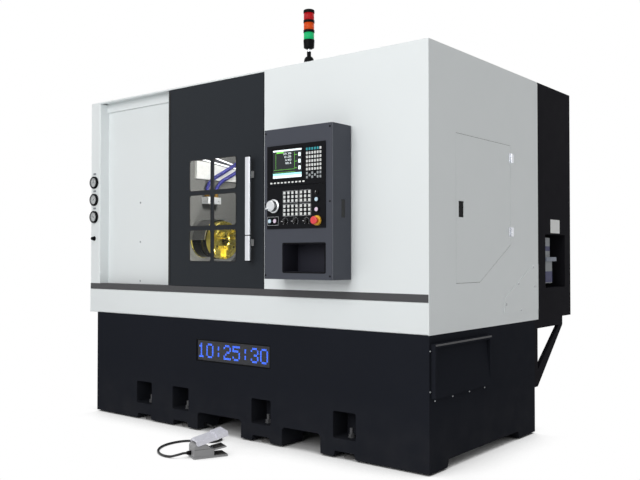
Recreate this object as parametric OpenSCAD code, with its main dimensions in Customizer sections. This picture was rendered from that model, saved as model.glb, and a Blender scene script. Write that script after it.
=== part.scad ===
// Slant-bed turning lathe with a sliding door, control box, signal lamp and foot switch.
// Millimetres, +Z up, +X along the spindle towards the tool turret, -Y towards the operator.

/* [Enclosure] */
// Width of the sheet-metal enclosure
enclosure_w = 2740; // [2640:10:2900]
// Depth of the enclosure, front plane to rear panel
enclosure_d = 1290; // [1280:5:1400]
// Height of the roof above the floor
roof_z = 2137; // [2100:1:2200]
// Thickness of the cover sheets
sheet = 3; // [2:0.5:4]
// Outer radius of a sheet's bends
bend_r = 8; // [6:0.5:12]
// Height of the roof's turned-down rim
roof_rim = 9; // [6:1:14]
// Height of the skirt over the base
skirt_h = 161; // [140:1:180]
// Depth of the skirt's folded channel
skirt_d = 60; // [40:1:70]
// Height of the door rail
rail_h = 39; // [34:1:50]
// Depth of the door rail
rail_d = 70; // [62:1:74]
// How far the left front panel lies behind the front plane
recess = 76; // [76:1:90]
// Width of the left end cover
end_cover_w = 102; // [96:1:130]

/* [Base] */
// Height of the base's top, which carries the skirt
base_top = 682; // [670:1:690]
// Gap between the base and the floor
floor_gap = 10; // [6:1:14]
// How far the base stands inside the enclosure's left end
base_inset = 85; // [40:1:110]
// Depth of the base
base_d = 1232; // [1210:1:1260]
// Places of the levelling feet along the base
foot_x = [-779, -427, 258, 854]; // [-900:1:900]
// Distance of the feet from the base's face
foot_y = 65; // [55:1:80]
// Radius of a foot's pad
pad_r = 40; // [30:1:44]
// Radius of a levelling screw
foot_screw_r = 10; // [8:1:12]
// Width of a levelling window
window_w = 150; // [130:1:170]
// Height of a levelling window
window_h = 143; // [120:1:160]
// Height of the windows' sills above the floor
window_z = 107; // [95:1:120]
// Depth of the levelling windows
window_d = 130; // [115:1:150]
// Height of the notch over a foot
notch_h = 30; // [26:1:36]
// Middles of the two fork tunnels
fork_x = [-86, 555]; // [-120:1:600]
// Widths of the two fork tunnels
fork_w = [371, 276]; // [220:1:380]
// Height of the fork tunnels
fork_h = 104; // [80:1:120]
// Height of the arch under the base
arch_h = 40; // [20:1:60]
// Width of the sign set into the base's front
sign_w = 615; // [500:1:700]
// Height of the sign
sign_h = 134; // [100:1:160]
// Height of the sign's lower edge
sign_z = 428; // [300:1:500]
// Depth of the chip-port hood
hood_d = 25; // [15:1:40]

/* [Door] */
// Place of the closed door's left edge
door_x = -547; // [-600:1:-530]
// Width of the door
door_w = 823; // [800:1:840]
// Thickness of the door
door_t = 56; // [46:1:60]
// Thickness of the door's skin
door_skin = 4; // [3:0.5:6]
// Gap over and under the door
door_gap = 2; // [1:0.5:4]
// Width of a pane's opening
pane_w = 189; // [150:1:200]
// Height of a pane's opening
pane_h = 190; // [150:1:200]
// Width of the bars between the panes
pane_bar = 26; // [24:1:36]
// Corner radius of the pane openings
pane_r = 16; // [8:1:24]
// Place of the panes' left edge from the door's left edge
pane_x = 200; // [180:1:220]
// Height of the panes' lower edge above the floor
pane_z = 1038; // [1000:1:1080]
// Thickness of the panes
pane_t = 6; // [4:0.5:10]
// Width of the pull handle's bar
handle_w = 38; // [30:1:60]
// How far the handle's face stands out from the door
handle_out = 50; // [44:1:80]
// Length of the pull handle
handle_h = 606; // [500:1:700]

/* [Side door] */
// Front edge of the side door behind the front plane
side_door_y = 270; // [230:1:300]
// Width of the side door
side_door_w = 635; // [600:1:660]
// Lower edge of the side door
side_door_z = 930; // [900:1:960]
// Height of the side door
side_door_h = 774; // [740:1:800]
// Height of the side door's cut-off lower corner
side_door_cut = 204; // [150:1:240]
// Gap round the side door
side_door_gap = 2; // [1:0.5:4]

/* [Control box] */
// Left edge of the control box
box_x = 432; // [400:1:480]
// Width of the control box
box_w = 471; // [450:1:520]
// How far the control box stands out from the front
box_d = 166; // [140:1:200]
// Lower edge of the control box
box_z = 946; // [930:1:980]
// Height of the control box
box_h = 806; // [790:1:840]
// Wall of the control box
box_wall = 6; // [4:0.5:8]
// Width of the display unit and the operator panel
unit_w = 400; // [394:1:410]
// Thickness of the units' front plates
unit_t = 6; // [4:0.5:8]
// Radius of a push button's cap
button_r = 11; // [9:0.5:13]
// Travel of the push buttons
button_travel = 4; // [2:0.5:5]

/* [Spindle and turret] */
// Shift of the spindle's axis back from a third of the enclosure's depth
spindle_shift = 0; // [-10:1:10]
// Height of the spindle's axis
spindle_z = 1177; // [1165:1:1190]
// Place of the chuck's face along the machine
chuck_x = -467; // [-480:1:-450]
// Radius of the chuck
chuck_r = 127; // [115:1:135]
// Length of the chuck's body
chuck_l = 100; // [90:1:110]
// Radius of the spindle's bearing journal
spindle_r = 80; // [70:1:90]
// Radial clearance of the spindle in the headstock
spindle_clearance = 0.05; // [0.02:0.01:0.09]
// Slant of the bed
slant = 45; // [40:1:48]
// Distance from the spindle's axis down to the bed's face
bed_drop = 300; // [290:1:310]
// Radius of the turret disc over its corners
turret_r = 190; // [170:1:200]
// Thickness of the turret disc
turret_t = 85; // [70:1:95]
// Place of the turret's face along the machine
turret_x = 150; // [100:1:180]
// Distance of the turret's axis from the spindle's, up the slant
turret_s = 420; // [400:1:430]
// Gap between sliding faces
slide_gap = 0.3; // [0.2:0.05:0.4]

/* [Cabinet] */
// Width of the electrical cabinet
cabinet_w = 900; // [800:10:1200]
// Depth of the electrical cabinet
cabinet_d = 523; // [500:1:560]
// Depth of the recess in the cabinet's side
cabinet_recess = 145; // [140:1:180]

/* [Signal lamp] */
// Radius of the signal lamp's rings
lamp_r = 32; // [26:1:38]
// Height of one lamp section
lamp_section = 56; // [44:1:64]
// Place of the lamp along the roof
lamp_x = 490; // [300:1:700]
// Distance of the lamp behind the front plane
lamp_y = 150; // [100:1:300]

/* [Foot switch] */
// Length of the foot switch
pedal_l = 190; // [180:1:210]
// Width of the foot switch
pedal_w = 105; // [95:1:120]
// Height of the foot switch's cast block
pedal_block_h = 76; // [70:1:78]
// Place of the foot switch along the machine
pedal_x = 231; // [200:1:260]
// Distance of the foot switch in front of the machine
pedal_y = 385; // [370:1:400]
// Turn of the foot switch on the floor
pedal_turn = 64.7; // [60:0.1:70]
// Diameter of the foot switch's lead
cord_d = 12.5; // [10:0.5:14]

/* [Hidden] */

$fn = 48;
// Overshoot of a cut past the face it opens
cut = 1;

// Colours
cover_white = [0.92, 0.93, 0.92];
pale_grey = [0.80, 0.82, 0.84];
casting_black = [0.13, 0.14, 0.16];
door_black = [0.18, 0.20, 0.22];
box_grey = [0.26, 0.27, 0.29];
rail_grey = [0.34, 0.34, 0.35];
cabinet_black = [0.13, 0.13, 0.14];
liner_grey = [0.55, 0.56, 0.55];
steel = [0.72, 0.73, 0.75];
chuck_gold = [0.74, 0.60, 0.22];
plastic_black = [0.08, 0.08, 0.09];
pale_blue = [0.74, 0.82, 0.87];
pale_pink = [0.84, 0.77, 0.84];

// Enclosure
half_w = enclosure_w / 2;
spindle_y = enclosure_d / 3 + spindle_shift;
inner_x = half_w - sheet;
skirt_top = base_top + skirt_h;
rail_top = skirt_top + rail_h;
panel_top = roof_z - roof_rim;
recess_x = -half_w + end_cover_w;
total_d = enclosure_d + cabinet_d;
vent_x = -half_w + 220;
vent_z = base_top + 260;
vent_w = 300;
vent_h = 14;
vent_pitch = 32;
vent_slots = 8;

// Door and the opening behind it
door_x1 = door_x + door_w;
door_z0 = rail_top + door_gap;
door_z1 = panel_top - door_gap;
groove_y = 18;
groove_w = 20;
groove_d = 12;
opening_x0 = door_x + 35;
lintel_h = 55;
lintel_z = panel_top - lintel_h;
lintel_y = door_t + 6;
lintel_d = 40;
recess_fold = 44;
roof_land = 20;
guide_in = 40;
guide_l = 120;
guide_h = 34;
pane_lap = 10;
pane_slack = 0.5;
pane_hold = pane_lap - pane_slack;
pane_frame_t = door_skin + pane_t + 3;
panes_x1 = door_x + pane_x + 2 * pane_w + pane_bar;
panes_z1 = pane_z + 3 * pane_h + 2 * pane_bar;
handle_z = pane_z + 1;
handle_x = door_x1 - 82;
handle_t = 14;
handle_r = 5;
post_in = 14;
post_w = 20;
post_h = 36;
post_zs = [handle_z + handle_h * 0.18, handle_z + handle_h * 0.83];

// Foot switch and the origin, which is the middle of the whole footprint
pedal_corner = 8;
pedal_reach = pedal_y + (pedal_l / 2 - pedal_corner) * sin(pedal_turn)
  + (pedal_w / 2 - pedal_corner) * cos(pedal_turn) + pedal_corner;
front_y = (pedal_reach - total_d) / 2;

// Base
base_x0 = -half_w + base_inset;
base_x1 = half_w;
notch_w = window_w;
notch_d = 110;
notch_slope = 12;
window_r = 10;
foot_bore = 1;
foot_pad_edge = 8;
foot_pad_h = 20;
foot_nut_r = foot_screw_r * 1.7;
foot_low_nut_h = 14;
foot_nut_h = 16;
foot_washer_r = foot_screw_r * 1.9;
foot_washer_h = 4;
foot_screw_top = 50;
fork_chamfer = 14;
fork_top = floor_gap + fork_h;
arch_y0 = 172;
arch_y1 = base_d - 216;
arch_slope = 18;
sign_x = -285;
sign_sink = 18;
sign_t = 12;
// The casting's core, open to the arch below through two core holes
core_wall = 40;
core_y = window_d + 45;
core_z = fork_top + 40;
core_hole_x = [-880, 1030];
core_hole_w = 360;
hood_y0 = 16;
hood_y1 = 616;
hood_z0 = 375;
hood_z1 = 640;
hood_rim = 20;
hood_back = 3;
sign_slack = 1;

// Slant bed, given across (s) and square to (n) the slanted face from the spindle's axis
bed_x0 = -half_w + 130;
bed_x1 = 990;
bed_toe_z = base_top + 18;
bed_toe_s = (bed_toe_z - spindle_z + bed_drop * cos(slant)) / sin(slant);
bed_room = 200;
bed_back = enclosure_d - bed_room;
bed_land = 52;
bed_top_s = (bed_back - bed_land - spindle_y - bed_drop * sin(slant)) / cos(slant);
way_low = 200;
way_high = 210;
way_s = [-way_low, bed_top_s - way_high];
way_w = 40;
way_h = 36;
way_x0 = -660;

// Headstock and spindle
bulkhead_x = -690;
head_x0 = bed_x0;
head_x1 = bulkhead_x - sheet;
head_r = 200;
head_foot = 185;
nose_r = 117;
chuck_back = chuck_x - chuck_l;
nose_x = bulkhead_x + 10;
chuck_bore_r = 35;
bar_r = chuck_bore_r + 1;
bar_hole_r = bar_r + 10;
cylinder_r = 95;
cylinder_l = 75;
cylinder_x0 = head_x0 - cylinder_l;
flange_t = 10;
flange_w = 8;
nose_neck = nose_r - 10;
groove_back = 30;
groove_front = 20;
groove_sink = 6;

// Chuck jaws, with the slots they slide in
jaw_angles = [30, 150, 270];
slot_neck = 26;
slot_wide = 44;
slot_lip = 18;
slot_deep = 34;
slot_in = chuck_bore_r + 7;
jaw_in = slot_in + 7;
jaw_out = 112;
jaw_w = 40;
jaw_h = 46;
jaw_step = 24;
jaw_nose = 8;
jaw_tip = 16;
jaw_slope = 4;
jaw_edge = 6;
jaw_root = 2;
jaw_bolt_r = 7;
jaw_bolt_floor = 10;
jaw_bolts = [jaw_in + 6, jaw_out - 18];
chuck_chamfer = 6;
chuck_back_chamfer = 4;
chuck_bolt_r = 9;
chuck_bolt_d = 14;
chuck_bolt_at = chuck_r * 0.72;

// Saddle, cross slide and turret, along the machine from the turret's face
saddle_x0 = turret_x + turret_t + 15;
saddle_l = 400;
saddle_low = 290;
saddle_high = 120;
saddle_s0 = -saddle_low;
saddle_s1 = bed_top_s - saddle_high;
saddle_drop = 190;
saddle_n = -saddle_drop;
saddle_lift = 2;
saddle_relief = 50;
saddle_web = 70;
cross_way_end = 20;
way_top = -bed_drop + way_h;
cross_way_w = 50;
cross_way_h = 30;
cross_way_in = 60;
cross_way_x = [saddle_x0 + cross_way_in, saddle_x0 + saddle_l - cross_way_in - cross_way_w];
cross_n0 = saddle_n + slide_gap;
cross_drop = 100;
cross_n1 = -cross_drop;
cross_half = 190;
cross_seat = 200;
house_in = 10;
house_l = 190;
house_x0 = saddle_x0 + house_in;
house_x1 = house_x0 + house_l;
house_r = 140;
house_foot = 2 * house_r - 24;
index_l = 150;
index_w = 140;
index_h = 170;
turret_shaft_r = 60;
turret_shaft_l = 100;
turret_bore_l = 120;
turret_stations = 12;
station_w = 28;
station_d = 34;
station_in = 0.62;
turret_hub_r = 45;
turret_hub_d = 12;

// Chamber liner
liner_y0 = lintel_y + lintel_d + sheet;
liner_room = 190;
liner_y1 = enclosure_d - liner_room;
liner_x1 = 1000;
liner_clear = 60;
cross_s0 = min(turret_s - cross_half, saddle_s1 - cross_seat);
cross_s1 = min(turret_s + cross_half, (liner_y1 - liner_clear - spindle_y) / cos(slant) - saddle_drop);
liner_z1 = panel_top - 8;
liner_gap = 2;
chute_y1 = spindle_y - 100;
chute_rise = 12;
chute_t = 5;
guard_gap = 10;
guard_t = 4;
guard_over = 45;
guard_r = chuck_r + guard_gap;
block_w = 125;
block_h = 46;
block_d = 60;
block_y0 = spindle_y - 13;
block_y1 = block_y0 + block_w;
block_z0 = spindle_z + 253;
block_z1 = block_z0 + block_h;
nozzle_r = 5;
nozzle_z = 16;
nozzle_d = 20;
fitting_r = 14;
fitting_h = 30;
fitting_nut_h = 12;
fitting_in = 21;
fitting_ys = [block_y0 + fitting_in, block_y1 - fitting_in];
fitting_x = bulkhead_x + sheet + block_d / 2;
light_t = 20;
light_h = 120;
light_y0 = spindle_y - 78;
light_y1 = liner_y1 - 200;
light_z0 = block_z1 + 124;
hose_d = 28;
hose_sides = 10;
hose_steps = 2;
// Points that the coolant hoses pass: out from the fitting, share of the way to the back wall, rise
hose_out = [0, 1, 5, 10, 14, 17, 19, 20, 20, 20];
hose_shares = [0, 0.0016, 0.0185, 0.058, 0.117, 0.22, 0.377, 0.564, 0.80, 0.999];
hose_rises = [
  [0.6, 25, 60, 91.5, 117, 153, 211, 273, 332, 336],
  [0.6, 19, 47, 75, 99, 130, 178, 226, 271.5, 275]
];
function hose_point(i, k) = [
  fitting_x + hose_out[k],
  fitting_ys[i] + hose_shares[k] * (liner_y1 - fitting_ys[i]),
  block_z1 + fitting_h + hose_rises[i][k]
];
hose_routes = [for (i = [0, 1]) [for (k = [0 : len(hose_out) - 1]) hose_point(i, k)]];

// Cabinet
cabinet_x0 = half_w - cabinet_w;
cabinet_y1 = total_d;
cabinet_z0 = base_top;
cabinet_wall = 3;
cabinet_r = 6;
window_y0 = enclosure_d + 110;
window_y1 = cabinet_y1 - 98;
recess_z0 = cabinet_z0 + 188;
recess_z1 = recess_z0 + 336;
bracket_w = 24;
bracket_bar_h = 54;
bracket_post_d = 45;
bracket_reach = 435;
bracket_foot = 102;
bracket_toe = 60;
bracket_h = 407;
bracket_low_z = cabinet_z0 - bracket_h;
// Lubricator in the recess: places and sizes from the recess's inner lower corner
oiler_in = 45;
oiler_plate = [6, 150, 280];
oiler_plate_at = [0, 0, 40];
pump = [100, 124, 126];
pump_at = [5, 6, 190];
pump_r = 14;
tray = [128, 168, 23];
tray_at = [5, -2, 168];
tray_r = 10;
tank = [108, 140, 141];
tank_at = [5, 10, 28];
tank_r = 18;
filler_at = [58, 150, 190];
filler_r = 14;
filler_h = 22;

// Side door, as points along Y and Z
side_x = half_w;
lip_w = 14;
lip_gap = 4;
side_y1 = side_door_y + side_door_w;
side_z1 = side_door_z + side_door_h;
side_cut_w = 375;
side_cut_y = side_y1 - side_cut_w;
hinge_zs = [side_door_z + 278, side_z1 - 71];
hinge_h = 52;
hinge_leaf = 31;
hinge_t = 2.5;
knuckle_r = 5;
hinge_pin_r = 2.5;
hinge_fit = 0.08;
hinge_x = side_x + knuckle_r + 0.5;
hinge_y = side_y1 + 4.5;
hinge_third = hinge_h / 3;
knuckle_gap = 0.3;
leaf_gap = 0.5;
door_leaf = 22;
latch_y0 = side_door_y + 27;
latch_w = 54;
latch_up = 341;
latch_z0 = side_door_z + latch_up;
latch_h = 85;
latch_d = 18;
latch_pin_r = 2.5;
latch_pin_in = 5;
latch_pin_drop = 6;
latch_t = 4;
latch_slack = 1;
service_in = 472;
service_up = 61;
service_w = 467;
service_h = 278;
service_low_h = 87;
service_slope = 400;
service_gap = 0.2;

// Control box
box_x1 = box_x + box_w;
box_z1 = box_z + box_h;
box_r = 10;
unit_x = box_x + 30;
unit_x1 = unit_x + unit_w;
display_h = 217;
operator_h = 228;
unit_drop = 92;
unit_top = box_z1 - unit_drop;
unit_split = unit_top - display_h;
unit_bottom = unit_split - operator_h;
unit_seam = 2;
unit_lap = 6;
unit_fit = unit_lap + 1;
unit_rim = 30;
unit_rim_t = 4;
unit_in = unit_fit + unit_rim_t;
screen_in = 38;
screen_w = 208;
screen_h = 159;
screen_drop = 21;
screen_sink = 2;
face_y = -box_d - unit_t;
pocket_x0 = box_x + 142;
pocket_x1 = box_x1 - 48;
pocket_room = unit_bottom - box_z;
pocket_z0 = box_z + pocket_room * 0.15;
pocket_z1 = box_z + pocket_room * 0.7;
pocket_d = 120;
socket_y0 = -box_d + 78;
socket_w = 32;
socket_z0 = box_z + box_h * 0.4;
socket_h = 96;
socket_sink = 2;
key_t = 2;
// Film keys: first key's place in its unit, pitch, and size
display_key_at = [273, 188];
display_key_pitch = [18, 21];
display_key = [14, 15];
cursor_rows = 2;
soft_key_at = [24, 205];
soft_key_pitch = 25;
soft_key = [16, 10];
machine_key_at = [118, 69];
machine_key_pitch = [27.9, 21];
machine_key_break = [3.5, 8];
machine_key = [14, 14];

// Panel controls, as places along X and Z
wheel_at = [unit_x + 53, unit_bottom + 122];
stop_at = [unit_x1 - 51, unit_bottom + 38];
start_at = [unit_x1 - 53, unit_bottom + 147];
hold_at = [unit_x1 - 53, unit_bottom + 95];
on_at = [unit_x + 24, unit_bottom + 42];
off_at = [unit_x + 61, unit_bottom + 42];
feed_at = [unit_x + 129, unit_bottom + 38];
speed_at = [unit_x + 201, unit_bottom + 38];
mode_at = [unit_x + 277, unit_bottom + 38];
key_at = [unit_x1 - 53, unit_bottom + 183];
push_places = [start_at, hold_at, on_at, off_at];
turn_places = [feed_at, speed_at, mode_at];
stem_r = 6;
stem_fit = 0.05;
collar_r = 9;
collar_t = 2;
bezel_h = 6;
bezel_w = 4;
cap_out = 3;
cap_gap = 0.3;
mushroom_r = 21;
mushroom_h = 22;
stop_collar_r = 26;
stop_collar_h = 8;
knob_r = 13;
knob_h = 20;
knob_skirt = 1;
knob_taper = 1.5;
knob_grip = 7;
control_in = 2;
key_barrel_h = 5;
key_bow = [5, 18, 12];
wheel_r = 31;
wheel_h = 34;
wheel_rim_h = 5;
wheel_edge = 4;
wheel_flange_r = 40;
wheel_flange_h = 3;
wheel_gap = 0.5;
crank_r = 5;
crank_h = 15;
crank_in = 10;
crank_turn = 225;

// Gauges on the left end cover
gauge_x = -half_w + 43;
gauge_zs = [1342, 1462, 1582];
gauge_r = 42;
gauge_out = 16;
gauge_body_r = 32;
gauge_body_d = 40;
gauge_fit = 0.5;
gauge_edge = 4;
gauge_lip = 9;
gauge_sink = 5;
plug_z = 1192;
plug_r = 16;
plug_h = 24;

// Signal lamp, up from the roof
lamp_foot_h = 86;
lamp_foot_r = 28;
lamp_foot_round = 36;
lamp_stub_h = 16;
lamp_stub_r = 12;
lamp_pole_h = 16;
lamp_pole_r = 8;
lamp_core_r = 10;
lamp_body_h = lamp_section - 5;
lamp_body_edge = 6;
lamp_body_rim = 8;
lamp_ring_h = 14;
lamp_cap_r = 8;
lamp_cap_rise = 9;
lamp_z = lamp_foot_h + lamp_stub_h + lamp_pole_h;
lens_wall = 4;
lens_r = lamp_r - 2;
lens_h = lamp_section - lamp_ring_h;
function lens_z(i) = lamp_z + lamp_body_h + i * lamp_section;

// Foot switch, in its own frame: X from the lead's end to the open end, Z up
pedal_x0 = -pedal_l / 2;
pedal_x1 = pedal_l / 2;
pedal_plate_t = 10;
pedal_end = 4;
pedal_slot_l = 78;
pedal_top_l = 62;
gland_bore_d = 20;
pedal_cheek = 8;
pedal_pin_z = 36;
pedal_pin_x = 4;
pedal_pin_r = 4;
pedal_fit = 0.08;
treadle_tilt = 9;
treadle_l = 88;
treadle_t = 9;
treadle_gap = 1.5;
treadle_back = 8;
treadle_edge = 3;
pedal_cheek_r = 14;
pedal_rear_r = 20;
pedal_pin_short = 1;
hood_tilt = 14;
hood_x = 27;
hood_z = 80;
hood_l = 166;
hood_t = 4;
hood_low = -10;
hood_rear_r = 13;
hood_heel = 14;
hood_slot = [6, 3, 20];
hood_wide_x = 104;
hood_flare = 7;
hood_gap = 0.3;
pedal_block_w = pedal_w - 2 * (hood_t + hood_gap);
treadle_w = pedal_block_w - 2 * (pedal_cheek + treadle_gap);
gland_r = 11;
gland_l = 24;
gland_slack = 0.4;
gland_side = 10;
gland_z = 25;
// The lead's gland in the left fork tunnel's wall
tunnel_gland_x = fork_x[0] - fork_w[0] / 2;
tunnel_gland_y = 62;
tunnel_gland_z = 30;
cord_sides = 10;
cord_steps = 3;
// Points that the lead passes on the floor, from the foot switch to the base's tunnel
cord_route = [
  [178, -473.8, 25], [171.1, -488.3, 25], [164.3, -502.8, 25], [148, -526, 19], [112, -544, 9],
  [60, -546, 6.5], [0, -526, 6.5], [-60, -482, 6.5], [-106, -416, 6.5], [-124, -340, 6.5],
  [-110, -262, 6.5], [-62, -212, 6.5],
  [4, -196, 6.5], [44, -150, 6.5], [26, -88, 6.5], [-38, -50, 6.5], [-100, -12, 6.5], [-146, 32, 10],
  [-190, 56, 22], [-231, 62, 30], [-247, 62, 30], [-263, 62, 30]
];

// Helpers: places, outlines and extrusions

module seat() translate([0, front_y, 0]) children();

module block(low, high) translate(low) cube(high - low);

// An outline of X and Z, drawn out along Y
module along_y(y0, y1) translate([0, y1, 0]) rotate([90, 0, 0]) linear_extrude(y1 - y0) children();

// An outline of Y and Z, drawn out along X
module along_x(x0, x1) translate([x0, 0, 0]) rotate([90, 0, 90]) linear_extrude(x1 - x0) children();

// A revolved profile whose axis points to the operator
module towards_front(place, y) translate([place[0], y, place[1]]) rotate([90, 0, 0]) children();

// The frame of the slanted bed: X along the machine, Y up the slant, Z square to it
module on_slant() translate([0, spindle_y, spindle_z]) rotate([slant, 0, 0]) children();

function arc(centre, r, a0, a1, n = 6) =
  [for (i = [0 : n]) centre + r * [cos(a0 + (a1 - a0) * i / n), sin(a0 + (a1 - a0) * i / n)]];

// A folded angle with its corner at the origin and legs along X and Y
module angle_fold(w, d, t = sheet, r = bend_r) polygon(concat(
  [[w, 0]], arc([r, r], r, 270, 180), [[0, d], [t, d]], arc([r, r], r - t, 180, 270), [[w, t]]));

// A folded channel with its web along X and legs of two lengths along Y
module channel_fold(w, d0, d1, t = sheet, r = bend_r) polygon(concat(
  [[0, d0]], arc([r, r], r, 180, 270), arc([w - r, r], r, 270, 360), [[w, d1], [w - t, d1]],
  arc([w - r, r], r - t, 360, 270), arc([r, r], r - t, 270, 180), [[t, d0]]));

module rounded(w, h, r) polygon(concat(
  arc([r, r], r, 180, 270), arc([w - r, r], r, 270, 360),
  arc([w - r, h - r], r, 0, 90), arc([r, h - r], r, 90, 180)));

module front_and_rear() {
  children();
  translate([0, base_d, 0]) mirror([0, 1, 0]) children();
}

// Sweep of a round tube along points
function unit(v) = v / norm(v);
function spline_at(p, i, t) =
  let (a = p[max(i - 1, 0)], b = p[i], c = p[i + 1], d = p[min(i + 2, len(p) - 1)])
  0.5 * (2 * b + (c - a) * t + (2 * a - 5 * b + 4 * c - d) * t * t + (3 * b - a - 3 * c + d) * t * t * t);
function spline(p, steps) = concat(
  [for (i = [0 : len(p) - 2], k = [0 : steps - 1]) spline_at(p, i, k / steps)], [p[len(p) - 1]]);
function heading(p, i) = unit(p[min(i + 1, len(p) - 1)] - p[max(i - 1, 0)]);
function ring(p, i, r, n) =
  let (t = heading(p, i), up = abs(t[2]) > 0.9 ? [1, 0, 0] : [0, 0, 1])
  let (side = unit(cross(t, up)), lift = cross(side, t))
  [for (k = [0 : n - 1]) p[i] + r * (cos(360 * k / n) * side + sin(360 * k / n) * lift)];

module tube(path, d, n) {
  rings = len(path);
  points = [for (i = [0 : rings - 1]) each ring(path, i, d / 2, n)];
  sides = [for (i = [0 : rings - 2], k = [0 : n - 1])
    [i * n + k, (i + 1) * n + k, (i + 1) * n + (k + 1) % n, i * n + (k + 1) % n]];
  ends = [[for (k = [0 : n - 1]) k], [for (k = [0 : n - 1]) rings * n - 1 - k]];
  polyhedron(points, concat(sides, ends), convexity = 10);
}

// Base and feet

module fork_outline(i) translate([fork_x[i] - fork_w[i] / 2, 0]) polygon([
  [0, -cut], [fork_w[i], -cut], [fork_w[i], fork_top - fork_chamfer], [fork_w[i] - fork_chamfer, fork_top],
  [fork_chamfer, fork_top], [0, fork_top - fork_chamfer]]);

module notch_outline() polygon([
  [-notch_w / 2, 0], [notch_w / 2, 0], [notch_w / 2 - notch_slope, floor_gap + notch_h],
  [-notch_w / 2 + notch_slope, floor_gap + notch_h]]);

module foot_pocket(x) {
  along_y(-cut, window_d) translate([x - window_w / 2, window_z]) rounded(window_w, window_h, window_r);
  along_y(-cut, notch_d) translate([x, 0]) notch_outline();
  translate([x, foot_y, floor_gap]) cylinder(r = foot_screw_r + foot_bore, h = window_z - floor_gap + cut);
}

module base_casting() color(casting_black) seat() difference() {
  along_y(0, base_d) difference() {
    translate([base_x0, floor_gap]) square([base_x1 - base_x0, base_top - floor_gap]);
    for (i = [0, 1]) fork_outline(i);
  }
  front_and_rear() for (x = foot_x) foot_pocket(x);
  along_x(base_x0 - cut, base_x1 + cut) polygon([
    [arch_y0, 0], [arch_y1, 0], [arch_y1 - arch_slope, floor_gap + arch_h],
    [arch_y0 + arch_slope, floor_gap + arch_h]]);
  along_y(-cut, sign_sink) translate([sign_x, sign_z]) square([sign_w, sign_h]);
  block([base_x0 + core_wall, core_y, core_z], [base_x1 - core_wall, base_d - core_y, base_top - core_wall]);
  for (x = core_hole_x)
    block([x - core_hole_w / 2, core_y, floor_gap], [x + core_hole_w / 2, base_d - core_y, core_z + cut]);
}

module levelling_foot(x) translate([x, foot_y, 0]) {
  rotate_extrude() polygon([
    [0, 0], [pad_r, 0], [pad_r, foot_pad_edge], [pad_r * 0.7, foot_pad_h * 0.9], [pad_r * 0.5, foot_pad_h],
    [0, foot_pad_h]]);
  translate([0, 0, foot_pad_h / 2])
    cylinder(r = foot_screw_r, h = window_z + foot_screw_top - foot_pad_h / 2);
  translate([0, 0, floor_gap + notch_h - foot_low_nut_h])
    cylinder(r = foot_nut_r, h = foot_low_nut_h, $fn = 6);
  translate([0, 0, window_z]) cylinder(r = foot_washer_r, h = foot_washer_h);
  translate([0, 0, window_z + foot_washer_h]) cylinder(r = foot_nut_r, h = foot_nut_h, $fn = 6);
}

module levelling_feet() color(rail_grey) seat() front_and_rear() for (x = foot_x) levelling_foot(x);

module chip_hood() color(casting_black) seat() difference() {
  block([base_x1, hood_y0, hood_z0], [base_x1 + hood_d, hood_y1, hood_z1]);
  translate([0, hood_y1 - hood_rim, 0]) rotate([90, 0, 0]) linear_extrude(hood_y1 - hood_y0 - 2 * hood_rim)
    polygon([[base_x1 + hood_back, hood_z1 - hood_rim], [base_x1 + hood_d + cut, hood_z1 - hood_rim],
      [base_x1 + hood_d + cut, hood_z0 + hood_rim]]);
}

module sign_panel() color([0.05, 0.06, 0.12]) seat()
  along_y(sign_sink - sign_t, sign_sink) translate([sign_x + sign_slack, sign_z + sign_slack])
    square([sign_w - 2 * sign_slack, sign_h - 2 * sign_slack]);

// Sheet-metal covers

module front_skirt() color(cover_white) seat()
  translate([-inner_x, 0, base_top]) rotate([0, 90, 0]) mirror([1, 0, 0]) linear_extrude(2 * inner_x)
    channel_fold(skirt_h, skirt_d, skirt_d);

module door_rail() color(rail_grey) seat() along_x(-inner_x, inner_x) polygon([
  [0, skirt_top], [rail_d, skirt_top], [rail_d, rail_top], [groove_y + groove_w, rail_top],
  [groove_y + groove_w, rail_top - groove_d], [groove_y, rail_top - groove_d], [groove_y, rail_top],
  [0, rail_top]]);

module front_right_panel() color(cover_white) seat()
  translate([door_x1 + door_gap, 0, rail_top]) linear_extrude(panel_top - rail_top)
    angle_fold(inner_x - door_x1 - door_gap, rail_d);

module front_left_panel() color(cover_white) seat()
  translate([opening_x0, recess, rail_top]) mirror([1, 0, 0]) linear_extrude(lintel_z - rail_top)
    angle_fold(opening_x0 - recess_x + sheet, recess_fold);

module left_end_cover() color(cover_white) seat() difference() {
  union() {
    translate([-half_w, 0, rail_top]) linear_extrude(panel_top - rail_top)
      channel_fold(end_cover_w, enclosure_d, recess);
    block([-half_w, 0, base_top], [-inner_x, enclosure_d, rail_top + cut]);
  }
  for (z = gauge_zs) towards_front([gauge_x, z], sheet + cut)
    cylinder(r = gauge_body_r + gauge_fit, h = sheet + 2 * cut);
  translate([-half_w - cut, spindle_y, spindle_z]) rotate([0, 90, 0])
    cylinder(r = bar_hole_r, h = sheet + 2 * cut);
}

module side_door_outline() polygon([
  [side_door_y, side_door_z], [side_cut_y, side_door_z], [side_y1, side_door_z + side_door_cut],
  [side_y1, side_z1], [side_door_y, side_z1]]);

module service_outline() translate([enclosure_d - service_in, base_top + service_up]) polygon([
  [0, 0], [service_w, 0], [service_w, service_h], [service_slope, service_h], [0, service_low_h]]);

module right_side_panel() color(cover_white) seat() {
  along_x(inner_x, half_w) difference() {
    translate([0, base_top]) square([enclosure_d, panel_top - base_top]);
    offset(delta = side_door_gap) side_door_outline();
  }
  along_x(inner_x - sheet, inner_x) difference() {
    offset(delta = side_door_gap + lip_w) side_door_outline();
    offset(delta = -lip_w) side_door_outline();
  }
  along_x(half_w + service_gap, half_w + service_gap + sheet) service_outline();
}

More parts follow.
